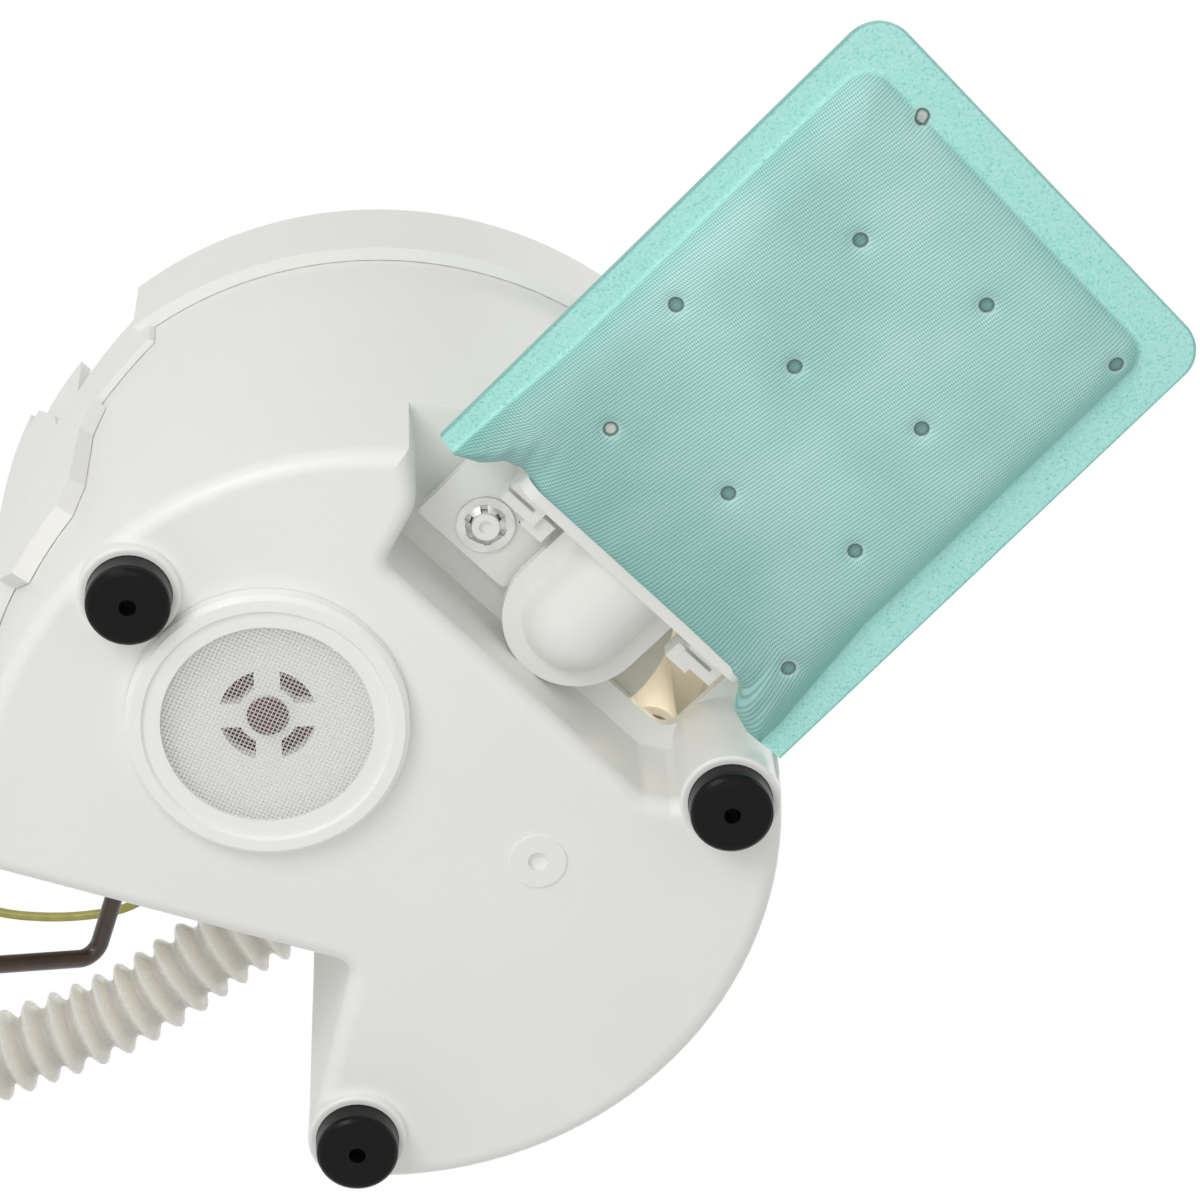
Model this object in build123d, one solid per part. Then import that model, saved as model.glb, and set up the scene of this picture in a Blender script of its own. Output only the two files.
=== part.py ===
from build123d import *
import math
import os

# Fuel pump module: a spring-loaded swirl pot that hangs under a tank flange on two guide rods.
# Everything is modelled in the pot's own frame, in millimetres: the pot's axis is x = y = 0, the
# rubber feet stand on z = 0, the strainer bag points along +X and the flange is on top. Each piece
# is moved to the module's frame when it is written, with the origin at the centre of the flange's
# sealing face.

os.makedirs("parts", exist_ok=True)

# Pot
POT_RADIUS_LOW = 66.5
POT_RADIUS_HIGH = 68.2
WALL = 2.2
FLOOR_Z = 7.0
FLOOR_THICKNESS = 2.5
RIM_Z = 112.0
FLOOR_EDGE_RADIUS = 3.0

# Pie-shaped notch: its apex, and the bearings of its two sides in degrees
NOTCH_APEX = (-21.4, 14.9)
NOTCH_FOOT_SIDE = 149.5
NOTCH_SENDER_SIDE = 242.7
NOTCH_CORNERS = (((-21.4, 14.9), 3.0), ((-54.0, 38.0), 8.3), ((-49.0, -41.0), 7.0))

# Step above the strainer bag
STEP_X = 34.2
CEILING_Z = 28.5

# Feet
FOOT_PLACES = {"foot_front": (3.1, -58.1), "foot_side": (44.2, 37.5), "foot_notch": (-43.7, 37.4)}
FOOT_RADIUS = 6.9
COLLAR_RADIUS = 8.3
COLLAR_Z = 5.0
SOCKET_TOP_Z = 9.0

# Floor valve and its strainer ring
VALVE = (2.0, -26.7)
RING_RADIUS = 23.1
MESH_RADIUS = 17.3

# Strainer bag
BAG_CORNERS = ((55.5, -39.9), (153.8, -41.0), (151.2, 38.2), (53.5, 40.2))
BAG_Z = 12.0
BORDER_THICKNESS = 1.4
PILLOW_THICKNESS = 11.0

# Strainer frame
DUCT = (46.4, 0.5)
DUCT_FLANGE_RADIUS = 12.3
DUCT_RADIUS = 9.3
DUCT_FLANGE_Z = 18.0
PIN = (46.6, -20.6)
PIN_RADIUS = 2.3
EAR_Z = 22.5

# Pump
PUMP = (40.0, 0.0)
PUMP_RADIUS = 19.0
PORT = (46.0, 0.0)
SHELL_Z = (39.2, 96.0)

# Cover, rods and flange
BAND_RADIUS = 70.3
BAND_Z = 94.0
COVER_GAP = 0.1
COVER_TOP_Z = 114.5

# Latch panel and rim strip of the cover: bearing in degrees and height of each corner
LATCH_BEARING = -100.0
LATCH_PANEL = [
    (-88.3, 72.0),
    (-94.5, 89.0),
    (-97.0, 80.0),
    (-98.0, 87.0),
    (-104.5, 107.0),
    (-109.0, 107.0),
    (-109.0, 95.0),
    (-128.0, 95.0),
    (-128.0, 45.0),
    (-108.5, 40.0),
    (-103.0, 29.0),
    (-99.5, 31.0),
    (-93.0, 34.0),
    (-91.0, 42.0),
    (-90.5, 64.0),
]
RIM_STRIP_RADIUS = 69.0
RIM_STRIP = [(-79.5, 86.0), (-80.0, 103.0), (-83.0, 103.0), (-95.0, 91.0), (-95.0, 76.0), (-89.5, 75.5)]

RODS = ((-4.0, -27.0), (20.0, 48.0))
ROD_RADIUS = 3.0
ROD_Z = (76.0, 168.0)
SLEEVE_Z = (84.0, 116.5)
SPRING_RADIUS = 6.7
SPRING_WIRE_RADIUS = 0.85
SPRING_TURNS = 6
SPRING_SIDES = 14
FLANGE = (-17.0, 17.0)
FLANGE_RADIUS = 67.0
FLANGE_Z = 160.0
FLANGE_THICKNESS = 4.0

# Fuel duct, hose and level sender
DUCT_Z = 121.0
REGULATOR = (16.0, 18.0)
HOSE_RADIUS = 7.0
HOSE_BORE = 5.0
CORD_SIDES = 14
SENDER_REACH = 37.0
SENDER_Z = 60.0
ARM_RADIUS = 1.6
ARM_OFFSET = 38.0
WIPER_REST = -30.0

BOTTOM = (Align.CENTER, Align.CENTER, Align.MIN)


# ---------------------------------------------------------------- helpers


def disc(place, z_low, z_high, radius):
    """A round bar along Z."""
    return Pos(place[0], place[1], z_low) * Cylinder(radius, z_high - z_low, align=BOTTOM)


def pipe(place, z_low, z_high, outer, inner):
    """A round tube along Z."""
    return disc(place, z_low, z_high, outer) - disc(place, z_low - 1, z_high + 1, inner)


def block(x_range, y_range, z_range):
    """A box between two corners."""
    centre = [(a + b) / 2 for a, b in (x_range, y_range, z_range)]
    size = [b - a for a, b in (x_range, y_range, z_range)]
    return Pos(*centre) * Box(*size)


def softened_disc(place, z_low, z_high, radius, rounding):
    """A round bar along Z whose lower edge is rounded in three facets."""
    steps = [math.radians(turn) for turn in (0, 30, 60, 90)]
    edge = [(radius - rounding * (1 - math.sin(t)), z_low + rounding * (1 - math.cos(t))) for t in steps]
    profile = Polyline((0, z_low), *edge, (radius, z_high), (0, z_high), close=True)
    return Pos(*place) * revolve(Plane.XZ * make_face(profile), axis=Axis.Z)


def toward(point, bearing, reach):
    """The point at a bearing, in degrees, and a distance from another."""
    angle = math.radians(bearing)
    return (point[0] + reach * math.cos(angle), point[1] + reach * math.sin(angle))


def round_corners(face, corners):
    """Rounds the corners of a flat face that lie nearest to the given points."""
    for point, radius in corners:
        corner = min(face.vertices(), key=lambda v: math.hypot(v.X - point[0], v.Y - point[1]))
        face = fillet(corner, radius)
    return face


def sector(start, end, reach=140.0):
    """A flat wedge about the pot's axis, between two bearings."""
    middle = (start + end) / 2
    points = [(0, 0), toward((0, 0), start, reach), toward((0, 0), middle, reach * 1.4)]
    points.append(toward((0, 0), end, reach))
    return make_face(Polyline(*points, close=True))


def up(face, z_low, z_high):
    """A flat face pushed up along Z."""
    return Pos(0, 0, z_low) * extrude(face, amount=z_high - z_low)


def rounded_path(points, radii):
    """Straight runs joined by arcs."""
    return FilletPolyline(*points, radius=radii)


def cord_radii(points):
    """The largest arcs that the runs of a soft route allow."""
    radii = []
    for a, b, c in zip(points, points[1:], points[2:]):
        first = Vector(*b) - Vector(*a)
        second = Vector(*c) - Vector(*b)
        half_turn = math.radians(first.get_angle(second)) / 2
        radii.append(0.45 * min(first.length, second.length) / math.tan(half_turn))
    return radii


def sweep_along(path, radius):
    """A round section swept along a path."""
    return sweep(Plane(path @ 0, z_dir=path % 0) * Circle(radius), path=path)


def write(name, shape):
    """Writes one sub-part in the module's frame."""
    solids = shape.solids()
    body = solids[0] if len(solids) == 1 else Compound(children=solids)
    place = Pos(-FLANGE[0], -FLANGE[1], -FLANGE_Z)
    export_step(place * body, f"parts/{name}.step")


# ---------------------------------------------------------------- reservoir


def notch_face():
    """The wedge that the notch takes from the pot's plan."""
    middle = (NOTCH_FOOT_SIDE + NOTCH_SENDER_SIDE) / 2
    points = [NOTCH_APEX, toward(NOTCH_APEX, NOTCH_FOOT_SIDE, 120)]
    points += [toward(NOTCH_APEX, middle, 200), toward(NOTCH_APEX, NOTCH_SENDER_SIDE, 120)]
    return make_face(Polyline(*points, close=True))


def pot_plan(radius):
    """The pot's outline at one height: a circle less the notch, with its corners rounded."""
    return round_corners(Circle(radius) - notch_face(), NOTCH_CORNERS)


def pot_cone(grow):
    """The drafted round of the pot's wall, from its floor to just above its rim."""
    height = RIM_Z + 0.5 - FLOOR_Z
    draft = (POT_RADIUS_HIGH - POT_RADIUS_LOW) / (RIM_Z - FLOOR_Z)
    top = POT_RADIUS_LOW + draft * height
    return Pos(0, 0, FLOOR_Z) * Cone(POT_RADIUS_LOW + grow, top + grow, height, align=BOTTOM)


def step_tool(grow, top):
    """The space that the step over the strainer bag takes from the pot."""
    side = FOOT_PLACES["foot_side"]
    corners = [(STEP_X, -31.5), (45.5, -35.0), (52.0, -43.5), (62.0, -58.0), (95.0, -58.0)]
    corners += [(95.0, side[1]), side, (STEP_X + 2.3, 31.5), (STEP_X, 27.5)]
    face = make_face(Polyline(*corners, close=True))
    rounds = [((STEP_X, -31.5), 3), ((45.5, -35.0), 9), ((52, -43.5), 12), ((STEP_X, 27.5), 3)]
    face = round_corners(face, rounds) - Pos(*side) * Circle(COLLAR_RADIUS)
    if grow:
        face = offset(face, amount=grow)
    return up(face, FLOOR_Z - 20, top)


def pot_shell():
    """The drafted pot: floor, walls and step, with a rounded lower edge."""
    outside = pot_cone(0) - up(notch_face(), 0, RIM_Z + 5) - disc((0, 0), RIM_Z, RIM_Z + 5, 80)
    for point, radius in NOTCH_CORNERS:
        upright = [e for e in outside.edges() if abs((e % 0.5).Z) > 0.9]
        upright.sort(key=lambda e: math.hypot(e.center().X - point[0], e.center().Y - point[1]))
        outside = fillet(upright[0], radius)
    outside -= step_tool(0, CEILING_Z)
    edges = [e for e in outside.edges() if abs(e.center().Z - FLOOR_Z) < 0.001]
    outside = fillet(edges, FLOOR_EDGE_RADIUS)
    side = FOOT_PLACES["foot_side"]
    ear_room = block((side[0] + 2, 80.0), (side[1] - 0.1, side[1] + 3.8), (0, CEILING_Z))
    outside -= ear_room - disc(side, 0, CEILING_Z, COLLAR_RADIUS)
    inside = up(offset(pot_plan(POT_RADIUS_HIGH), amount=-WALL), FLOOR_Z + FLOOR_THICKNESS, RIM_Z + 1)
    inside &= pot_cone(-WALL)
    return outside - (inside - step_tool(WALL, CEILING_Z + WALL))


def foot_socket(place, top):
    """A collar that holds a rubber foot: a cup below, a small hole for the foot's stem above."""
    return softened_disc(place, COLLAR_Z, top, COLLAR_RADIUS, 0.6)


def valve_slots():
    """Four curved slots round the floor valve's stem hole."""
    ring = pipe(VALVE, FLOOR_Z, 12.0, 8.0, 4.9)
    cross = Pos(*VALVE) * Rot(0, 0, 45) * (Rectangle(30, 4.2) + Rectangle(4.2, 30))
    return ring - up(cross, FLOOR_Z - 1, 13.0)


def reservoir():
    pot = pot_shell()
    for name, place in FOOT_PLACES.items():
        top = CEILING_Z + 1 if name == "foot_side" else SOCKET_TOP_Z + 2.5
        pot += foot_socket(place, top)
    for name, place in FOOT_PLACES.items():
        pot -= disc(place, COLLAR_Z - 1, SOCKET_TOP_Z, FOOT_RADIUS + 0.1)
        pot -= disc(place, SOCKET_TOP_Z - 1, SOCKET_TOP_Z + 4, 2.3)
    pot -= disc(FOOT_PLACES["foot_side"], SOCKET_TOP_Z + 2.5, CEILING_Z + WALL + 1, 6.1)
    # floor valve: a round pocket for the mesh ring, a thicker seat, slots and the stem's hole
    pot += disc(VALVE, FLOOR_Z + 1.0, 11.0, 12.5)
    pot -= disc(VALVE, FLOOR_Z - 1, FLOOR_Z + 1.3, RING_RADIUS - 1.5)
    pot -= valve_slots()
    pot -= disc(VALVE, FLOOR_Z, 12.0, 2.2)
    # moulding gate: a shallow disc with a dimple
    gate = (14.1, 23.0)
    pot += disc(gate, FLOOR_Z - 0.35, FLOOR_Z + 0.5, 4.7)
    pot -= disc(gate, FLOOR_Z - 1.0, FLOOR_Z + 0.6, 1.65)
    # window beside the duct, a smaller one beside the ear, the pump's port, and the ear's pin
    window = fillet(Rectangle(20.0, 16.6).vertices(), 3.0)
    pot -= up(Pos(48.9, 21.2) * window, CEILING_Z - 1, CEILING_Z + WALL + 1)
    pot -= block((50.5, 57.0), (-17.0, -12.6), (CEILING_Z - 1, CEILING_Z + WALL + 1))
    pot -= disc(PORT, CEILING_Z - 1, CEILING_Z + WALL + 1, 7.4)
    pot += disc(PIN, EAR_Z - 1.7, CEILING_Z + 0.5, PIN_RADIUS)
    pot -= disc(PIN, EAR_Z - 2.0, EAR_Z - 0.9, 1.1)
    # dip in the rim beside the latch panel
    dip = Polyline((-7.0, RIM_Z + 2), (7.6, RIM_Z + 2), (7.6, 105.0), (-7.0, 91.0), close=True)
    pot -= Pos(0, -50, 0) * extrude(Plane.XZ * make_face(dip), amount=30)
    # snap lugs for the cover, below its band
    for bearing in (20, 75, 110):
        ring = Circle(BAND_RADIUS - 0.6) - Circle(POT_RADIUS_LOW)
        pot += up(ring & sector(bearing - 5, bearing + 5), BAND_Z - 5.0, BAND_Z - 0.6)
    # upright ribs of the sender's seat on the notch wall
    for reach in (SENDER_REACH - 14.6, SENDER_REACH + 14.6):
        foot = toward(NOTCH_APEX, NOTCH_SENDER_SIDE, reach)
        rib = Pos(foot[0], foot[1]) * Rot(0, 0, NOTCH_SENDER_SIDE) * Pos(0, -0.8) * Rectangle(1.4, 4.0)
        pot += up(rib, SENDER_Z - 18, SENDER_Z + 22)
    return pot


# ---------------------------------------------------------------- cover


def wall_plate(corners, radius):
    """A plate that lies on the pot's wall, by the bearing and height of each corner."""
    outline = [(radius * math.sin(math.radians(a - LATCH_BEARING)), z) for a, z in corners]
    outward = toward((0, 0), LATCH_BEARING, 1.0)
    across = toward((0, 0), LATCH_BEARING + 90, 1.0)
    start = toward((0, 0), LATCH_BEARING, radius - 15)
    plane = Plane((*start, 0), x_dir=(*across, 0), z_dir=(*outward, 0))
    rise = 1.0 if plane.y_dir.Z > 0 else -1.0
    face = plane * make_face(Polyline(*[(t, z * rise) for t, z in outline], close=True))
    solid = extrude(face, amount=20, dir=(*outward, 0))
    return solid & disc((0, 0), 0, RIM_Z, radius)


def reservoir_cover():
    """Snap-on cover: plate, outer band, latch panel, rod sleeves and stiffening ribs."""
    plate = up(pot_plan(BAND_RADIUS), RIM_Z + 0.1, COVER_TOP_Z)
    skirt = up(pot_plan(BAND_RADIUS), BAND_Z, RIM_Z + 0.2)
    gap = (Circle(90) - Circle(63.6)) & sector(-108, -82)
    skirt -= up(gap, BAND_Z - 1, COVER_TOP_Z + 1)
    skirt += wall_plate(LATCH_PANEL, BAND_RADIUS) + wall_plate(RIM_STRIP, RIM_STRIP_RADIUS)
    skirt -= pot_cone(COVER_GAP) & up(pot_plan(POT_RADIUS_HIGH + 0.15), 0, RIM_Z + 0.1)
    cover = plate - up(gap, BAND_Z - 1, COVER_TOP_Z + 1) + skirt
    # inner lip that centres the cover in the pot
    rim = pot_plan(POT_RADIUS_HIGH)
    lip = offset(rim, amount=-WALL - 0.3) - offset(rim, amount=-WALL - 2.0)
    cover += up(lip, RIM_Z - 5, RIM_Z + 0.3) - up(sector(-109, -81), 90, 130)
    for place in RODS:
        cover += disc(place, SLEEVE_Z[0], SLEEVE_Z[1], 5.6)
    cover += spokes()
    cover -= disc(PUMP, RIM_Z - 8, COVER_TOP_Z + 6, 15.0)
    for place in RODS:
        cover -= disc(place, SLEEVE_Z[0] - 1, SLEEVE_Z[1] + 4, ROD_RADIUS + 0.05)
        cover -= pipe(place, COVER_TOP_Z, COVER_TOP_Z + 4, 8.0, 5.6)
    for place, length, bearing in (((6, -8), 26, 60), ((-6, 24), 22, 150), ((44, -38), 20, 50)):
        slot = Pos(*place) * Rot(0, 0, bearing) * SlotOverall(length, 11)
        cover -= up(slot, RIM_Z - 1, COVER_TOP_Z + 5)
    return cover


def spokes():
    """Low ribs on the cover's top, from the pump's collar and between the rods."""
    ribs = pipe(PUMP, COVER_TOP_Z - 0.1, COVER_TOP_Z + 1.8, 16.6, 15.0)
    for bearing in (-75, -35, 0, 35):
        rib = Rot(0, 0, bearing) * Pos(16 + 4, 0) * Rectangle(11, 1.4)
        ribs += up(Pos(*PUMP) * rib, COVER_TOP_Z - 0.1, COVER_TOP_Z + 1.5) & disc((0, 0), 100, 130, 67)
    return ribs


# ---------------------------------------------------------------- feet and floor valve


def rubber_foot(place):
    """A push-in foot: a round pad with a blind hole, a neck and a barbed head inside the pot."""
    pad = softened_disc(place, 0.0, SOCKET_TOP_Z - 0.1, FOOT_RADIUS, 1.3) - disc(place, -1, 3.2, 1.4)
    neck = disc(place, SOCKET_TOP_Z - 0.2, SOCKET_TOP_Z + 2.6, 2.2)
    head = Pos(place[0], place[1], SOCKET_TOP_Z + 2.6) * Cone(3.3, 1.4, 4.0, align=BOTTOM)
    return pad + neck + head


def floor_ring():
    """Snap ring of the floor strainer: an outer lip and a lower inner shelf that carries the mesh."""
    profile = Polyline(
        (MESH_RADIUS, 4.3),
        (20.0, 4.3),
        (20.4, 3.6),
        (22.3, 3.6),
        (RING_RADIUS, 4.4),
        (RING_RADIUS, 6.9),
        (RING_RADIUS - 1.7, 6.9),
        (RING_RADIUS - 1.7, 8.2),
        (RING_RADIUS - 3.2, 8.2),
        (RING_RADIUS - 3.2, 5.3),
        (MESH_RADIUS, 5.3),
        close=True,
    )
    return Pos(*VALVE) * revolve(Plane.XZ * make_face(profile), axis=Axis.Z)


def floor_mesh():
    return disc(VALVE, 4.7, 5.0, MESH_RADIUS - 0.05)


def floor_valve():
    """Umbrella valve: a thin domed skirt over the slots, a stem and the bulb that holds it."""
    skirt = disc(VALVE, 11.05, 12.0, 10.5)
    edge = [e for e in skirt.edges() if abs(e.center().Z - 12.0) < 0.001]
    skirt = chamfer(edge, 0.6)
    stem = disc(VALVE, 7.0, 12.0, 2.1)
    bulb = Pos(VALVE[0], VALVE[1], 5.4) * Cone(1.6, 3.4, 2.6, align=BOTTOM)
    return skirt + stem + bulb


# ---------------------------------------------------------------- strainer bag and its frame


def bag_outline():
    """The bag's flat outline, with two ears beside the frame at its inner end."""
    ear_low, far_low, far_high, ear_high = BAG_CORNERS
    points = [ear_low, far_low, far_high, ear_high, (52.0, 31.5), (56.8, 26.0), (60.4, 2.0)]
    points += [(61.8, -26.0), (55.8, -33.0)]
    face = make_face(Polyline(*points, close=True))
    corners = [(far_low, 6.0), (far_high, 6.0), ((52.0, 31.5), 3.0), ((56.8, 26.0), 3.0)]
    corners += [((61.8, -26.0), 3.5), ((55.8, -33.0), 3.0), (ear_low, 1.2), (ear_high, 1.2)]
    return round_corners(face, corners)


def sock_strainer():
    """Pillow of mesh with a flat welded border, and a pocket for the frame's tongue."""
    border = up(bag_outline(), BAG_Z - BORDER_THICKNESS / 2, BAG_Z + BORDER_THICKNESS / 2)
    inner = [(c[0] + (1 if c[0] < 100 else -1) * 8.6, c[1] * 0.815) for c in BAG_CORNERS]
    face = round_corners(make_face(Polyline(*inner, close=True)), [(c, 7.0) for c in inner])
    pillow = up(face, BAG_Z - PILLOW_THICKNESS / 2, BAG_Z + PILLOW_THICKNESS / 2)
    flat = [e for e in pillow.edges() if abs(abs(e.center().Z - BAG_Z) - PILLOW_THICKNESS / 2) < 0.01]
    bag = border + fillet(flat, 4.2)
    return bag - block((50, 84.3), (-25.8, 25.8), (BAG_Z - 3.8, BAG_Z + 3.8)) - block(
        (50, 65.3), (-25.8, 25.8), (0, 30)
    )


def duct_bowl(radius):
    """A channel with a round end, along the strainer's axis."""
    end = Pos(*DUCT, DUCT_FLANGE_Z + 1.2) * Sphere(radius)
    run = Pos(*DUCT, DUCT_FLANGE_Z + 1.2) * Rot(0, 90, 0) * Cylinder(radius, 20, align=BOTTOM)
    return end + run


def sock_frame():
    """Moulded frame: duct with its flange, transverse wall, tongue in the bag, ear and clips."""
    outline = Pos(*DUCT) * Circle(DUCT_FLANGE_RADIUS)
    outline += Pos(DUCT[0] + 6.4, DUCT[1]) * Rectangle(12.8, 2 * DUCT_FLANGE_RADIUS)
    frame = up(outline, DUCT_FLANGE_Z, DUCT_FLANGE_Z + 2)
    frame += duct_bowl(DUCT_RADIUS) & block((30, 64.5), (-20, 20), (0, DUCT_FLANGE_Z + 1))
    wall = Rot(0, 90, 0) * fillet(Rectangle(11.6, 50.0).vertices(), 3.0)
    frame += Pos(58.6, 0, 13.8) * extrude(wall, amount=2.0, dir=(1, 0, 0))
    frame += block((60.5, 84.0), (-22, 22), (BAG_Z - 1.0, BAG_Z + 1.0))
    for y in (-22, -11, 0, 11, 21):
        frame += block((60.5, 82.0), (y, y + 1.2), (BAG_Z - 3.4, BAG_Z + 3.4))
    frame -= duct_bowl(DUCT_RADIUS - 1.6) & block((30, 84.5), (-20, 20), (0, DUCT_FLANGE_Z + 0.4))
    frame += block((61.5, 84.0), (-9, 9), (BAG_Z - 1.0, BAG_Z + 1.0))
    # socket on the pump's port
    frame += disc(PORT, DUCT_FLANGE_Z + 1.0, 27.9, 7.0)
    frame -= disc(PORT, DUCT_FLANGE_Z - 1.0, 30.0, 5.6)
    # ear with its hole, and the web that carries it
    ear = block((40.4, 58.8), (-30.2, -10.4), (EAR_Z, EAR_Z + 2.0))
    ear = fillet(ear.edges().filter_by(Axis.Z), 0.8)
    frame += ear + block((57.4, 60.0), (-24.0, -10.6), (17.0, EAR_Z + 2.0))
    frame += pipe(PIN, EAR_Z + 1.9, 27.9, 6.4, PIN_RADIUS + 0.3)
    frame -= disc(PIN, EAR_Z - 1, 30, PIN_RADIUS + 0.3)
    frame -= block((50.5, 57.0), (-17.0, -12.6), (EAR_Z - 1, EAR_Z + 3))
    for side, y in ((-1, -20.6), (1, 20.0)):
        clip = block((53.6, 59.0), (y - 3.6, y + 3.6), (15.0, 18.4))
        clip += block((52.2, 55.6), (y - 3.6 * side - 1.4, y - 3.6 * side + 3.2), (16.2, 20.2))
        clip -= block((55.4, 56.1), (y - 5.0, y + 2.0), (13.0, 17.0))
        frame += clip
    return frame


def push_nut():
    """Star washer: a flat steel ring with slotted teeth that bite on the ear's pin."""
    low = EAR_Z - 0.02
    profile = Polyline(
        (4.8, low), (4.8, low - 0.6), (3.4, low - 0.6), (PIN_RADIUS + 0.05, low - 1.1),
        (PIN_RADIUS + 0.05, low - 0.6), (3.4, low), close=True,
    )
    ring = Pos(*PIN) * revolve(Plane.XZ * make_face(profile), axis=Axis.Z)
    for turn in range(6):
        slot = Rot(0, 0, turn * 60 + 10) * Pos(2.85, 0) * Rectangle(1.4, 1.2)
        ring -= up(Pos(*PIN) * slot, EAR_Z - 2, EAR_Z + 1)
    return ring


# ---------------------------------------------------------------- pump


def pump_holder():
    """Slotted cup that holds the pump upright on the step's ceiling."""
    low = CEILING_Z + WALL + 0.1
    cup = pipe(PUMP, low, 78.0, 21.6, 20.0) + pipe(PUMP, low, low + 2.0, 20.5, 12.0)
    for turn in range(4):
        window = Rot(0, 0, turn * 90 + 45) * Pos(20.5, 0) * Rectangle(8, 12)
        cup -= up(Pos(*PUMP) * window, 44.0, 70.0)
    return cup


def pump_isolator():
    """Rubber ring that keeps the pump's hum out of the pot."""
    low = CEILING_Z + WALL + 2.2
    ring = pipe(PUMP, low, 39.0, 19.8, 18.3) + pipe(PUMP, low, low + 2.0, 19.5, 12.5)
    for turn in range(12):
        notch = Rot(0, 0, turn * 30) * Pos(19.9, 0) * Rectangle(1.4, 2.2)
        ring -= up(Pos(*PUMP) * notch, low + 1.0, 40.0)
    return ring


def pump_inlet_cap():
    """Lower end of the pump: the impeller's chamber and the inlet port."""
    cap = disc(PUMP, 35.0, 49.0, 18.1) - disc(PUMP, 44.0, 50.0, 15.6)
    cap += disc(PORT, 25.0, 35.5, 5.4)
    cap -= disc(PORT, 24.0, 45.0, 3.6)
    return cap - disc(PUMP, 39.0, 45.0, 1.55)


def pump_shell():
    """Drawn can with its two ends rolled over the caps."""
    can = pipe(PUMP, SHELL_Z[0], SHELL_Z[1], PUMP_RADIUS, PUMP_RADIUS - 0.8)
    return can + pipe(PUMP, SHELL_Z[1] - 0.8, SHELL_Z[1], PUMP_RADIUS - 0.4, 15.2)


def pump_outlet_cap():
    """Upper end: terminals' seats, brush tower and the outlet neck."""
    cap = disc(PUMP, 88.0, 95.1, 18.1) + disc(PUMP, 95.0, 104.0, 14.6)
    cap += disc(PUMP, 104.0, 117.0, 4.6)
    cap -= disc(PUMP, 100.0, 118.0, 2.6)
    cap -= disc(PUMP, 87.0, 92.5, 1.55)
    for y in (-9.0, 9.0):
        cap -= block((PUMP[0] - 4.0, PUMP[0] - 2.8), (y - 3.2, y + 3.2), (101.0, 105.0))
        cap += block((PUMP[0] + 3.0, PUMP[0] + 9.0), (y - 2.5, y + 2.5), (103.9, 106.5))
    return cap


def pump_terminals():
    """Two tin-plated blades on the outlet cap."""
    blades = Part()
    for y in (-9.0, 9.0):
        blades += block((PUMP[0] - 3.8, PUMP[0] - 3.0), (y - 3.1, y + 3.1), (101.2, 112.0))
    return blades


def pump_impeller():
    """Side-channel wheel with blades cut round its edge."""
    wheel = disc(PUMP, 44.6, 48.2, 14.8)
    blade = Rectangle(3.0, 1.6)
    for turn in range(24):
        cut = Rot(0, 0, turn * 15) * Pos(14.2, 0) * blade
        wheel -= up(Pos(*PUMP) * cut, 44.0, 49.0)
    return wheel - disc(PUMP, 44.0, 49.0, 1.5)


def pump_rotor():
    """Shaft, wound armature and commutator."""
    rotor = disc(PUMP, 39.4, 92.2, 1.5) + disc(PUMP, 54.0, 80.0, 11.0) + disc(PUMP, 82.0, 87.0, 7.0)
    for turn in range(8):
        slot = Rot(0, 0, turn * 45) * Pos(9.6, 0) * Rectangle(4.0, 1.6)
        rotor -= up(Pos(*PUMP) * slot, 53.0, 81.0)
    return rotor + disc(PUMP, 79.9, 82.1, 4.0)


def pump_magnets():
    """Two curved ferrite magnets inside the can."""
    magnets = Part()
    for turn in (90, 270):
        half = (Circle(18.1) - Circle(12.0)) & (Rot(0, 0, turn) * Pos(0, -14) * Rectangle(30, 28))
        half &= Rot(0, 0, turn) * Pos(0, -15) * Rectangle(25, 22)
        magnets += up(Pos(*PUMP) * half, 52.0, 84.0)
    return magnets


# ---------------------------------------------------------------- fuel path


def fuel_duct():
    """Moulded duct on the cover, from the pump's neck past the regulator to the hose's spigot."""
    start = Vector(*HOSE_POINTS[0])
    along = (Vector(*HOSE_POINTS[1]) - start).normalized()
    bend = start - along * 16.0
    runs = [(*PUMP, DUCT_Z), (*REGULATOR, DUCT_Z), (1, 39, DUCT_Z), tuple(bend)]
    path = rounded_path(runs, [8.0, 12.0])
    spigot = Plane(bend, z_dir=along)
    duct = sweep_along(path, 4.4) + disc(PUMP, 108.0, DUCT_Z + 4.4, 6.6)
    duct += disc(REGULATOR, COVER_TOP_Z + 0.1, DUCT_Z + 4.4, 10.2) + Pos(*bend) * Sphere(4.4)
    duct += spigot * Cylinder(4.4, 31.0, align=BOTTOM)
    duct += spigot * Pos(0, 0, 14) * Cylinder(6.4, 2.0, align=BOTTOM)
    for place in (20.0, 24.0, 28.0):
        duct += spigot * Pos(0, 0, place) * Cone(4.9, 4.4, 2.4, align=BOTTOM)
    duct -= sweep_along(path, 2.4)
    duct -= spigot * Pos(0, 0, -1) * Cylinder(2.4, 40.0, align=BOTTOM)
    duct -= disc(PUMP, 107.0, 118.5, 4.65)
    duct -= disc(REGULATOR, COVER_TOP_Z - 1, DUCT_Z - 1.0, 8.7)
    return duct - disc(REGULATOR, DUCT_Z - 1.5, DUCT_Z + 1.0, 2.4)


def pressure_regulator():
    """Rolled metal can, pushed up into its seat under the duct."""
    can = disc(REGULATOR, COVER_TOP_Z + 0.2, DUCT_Z - 1.2, 8.5)
    return chamfer([e for e in can.edges() if abs(e.center().Z - DUCT_Z + 1.2) < 0.001], 1.0)


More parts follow.
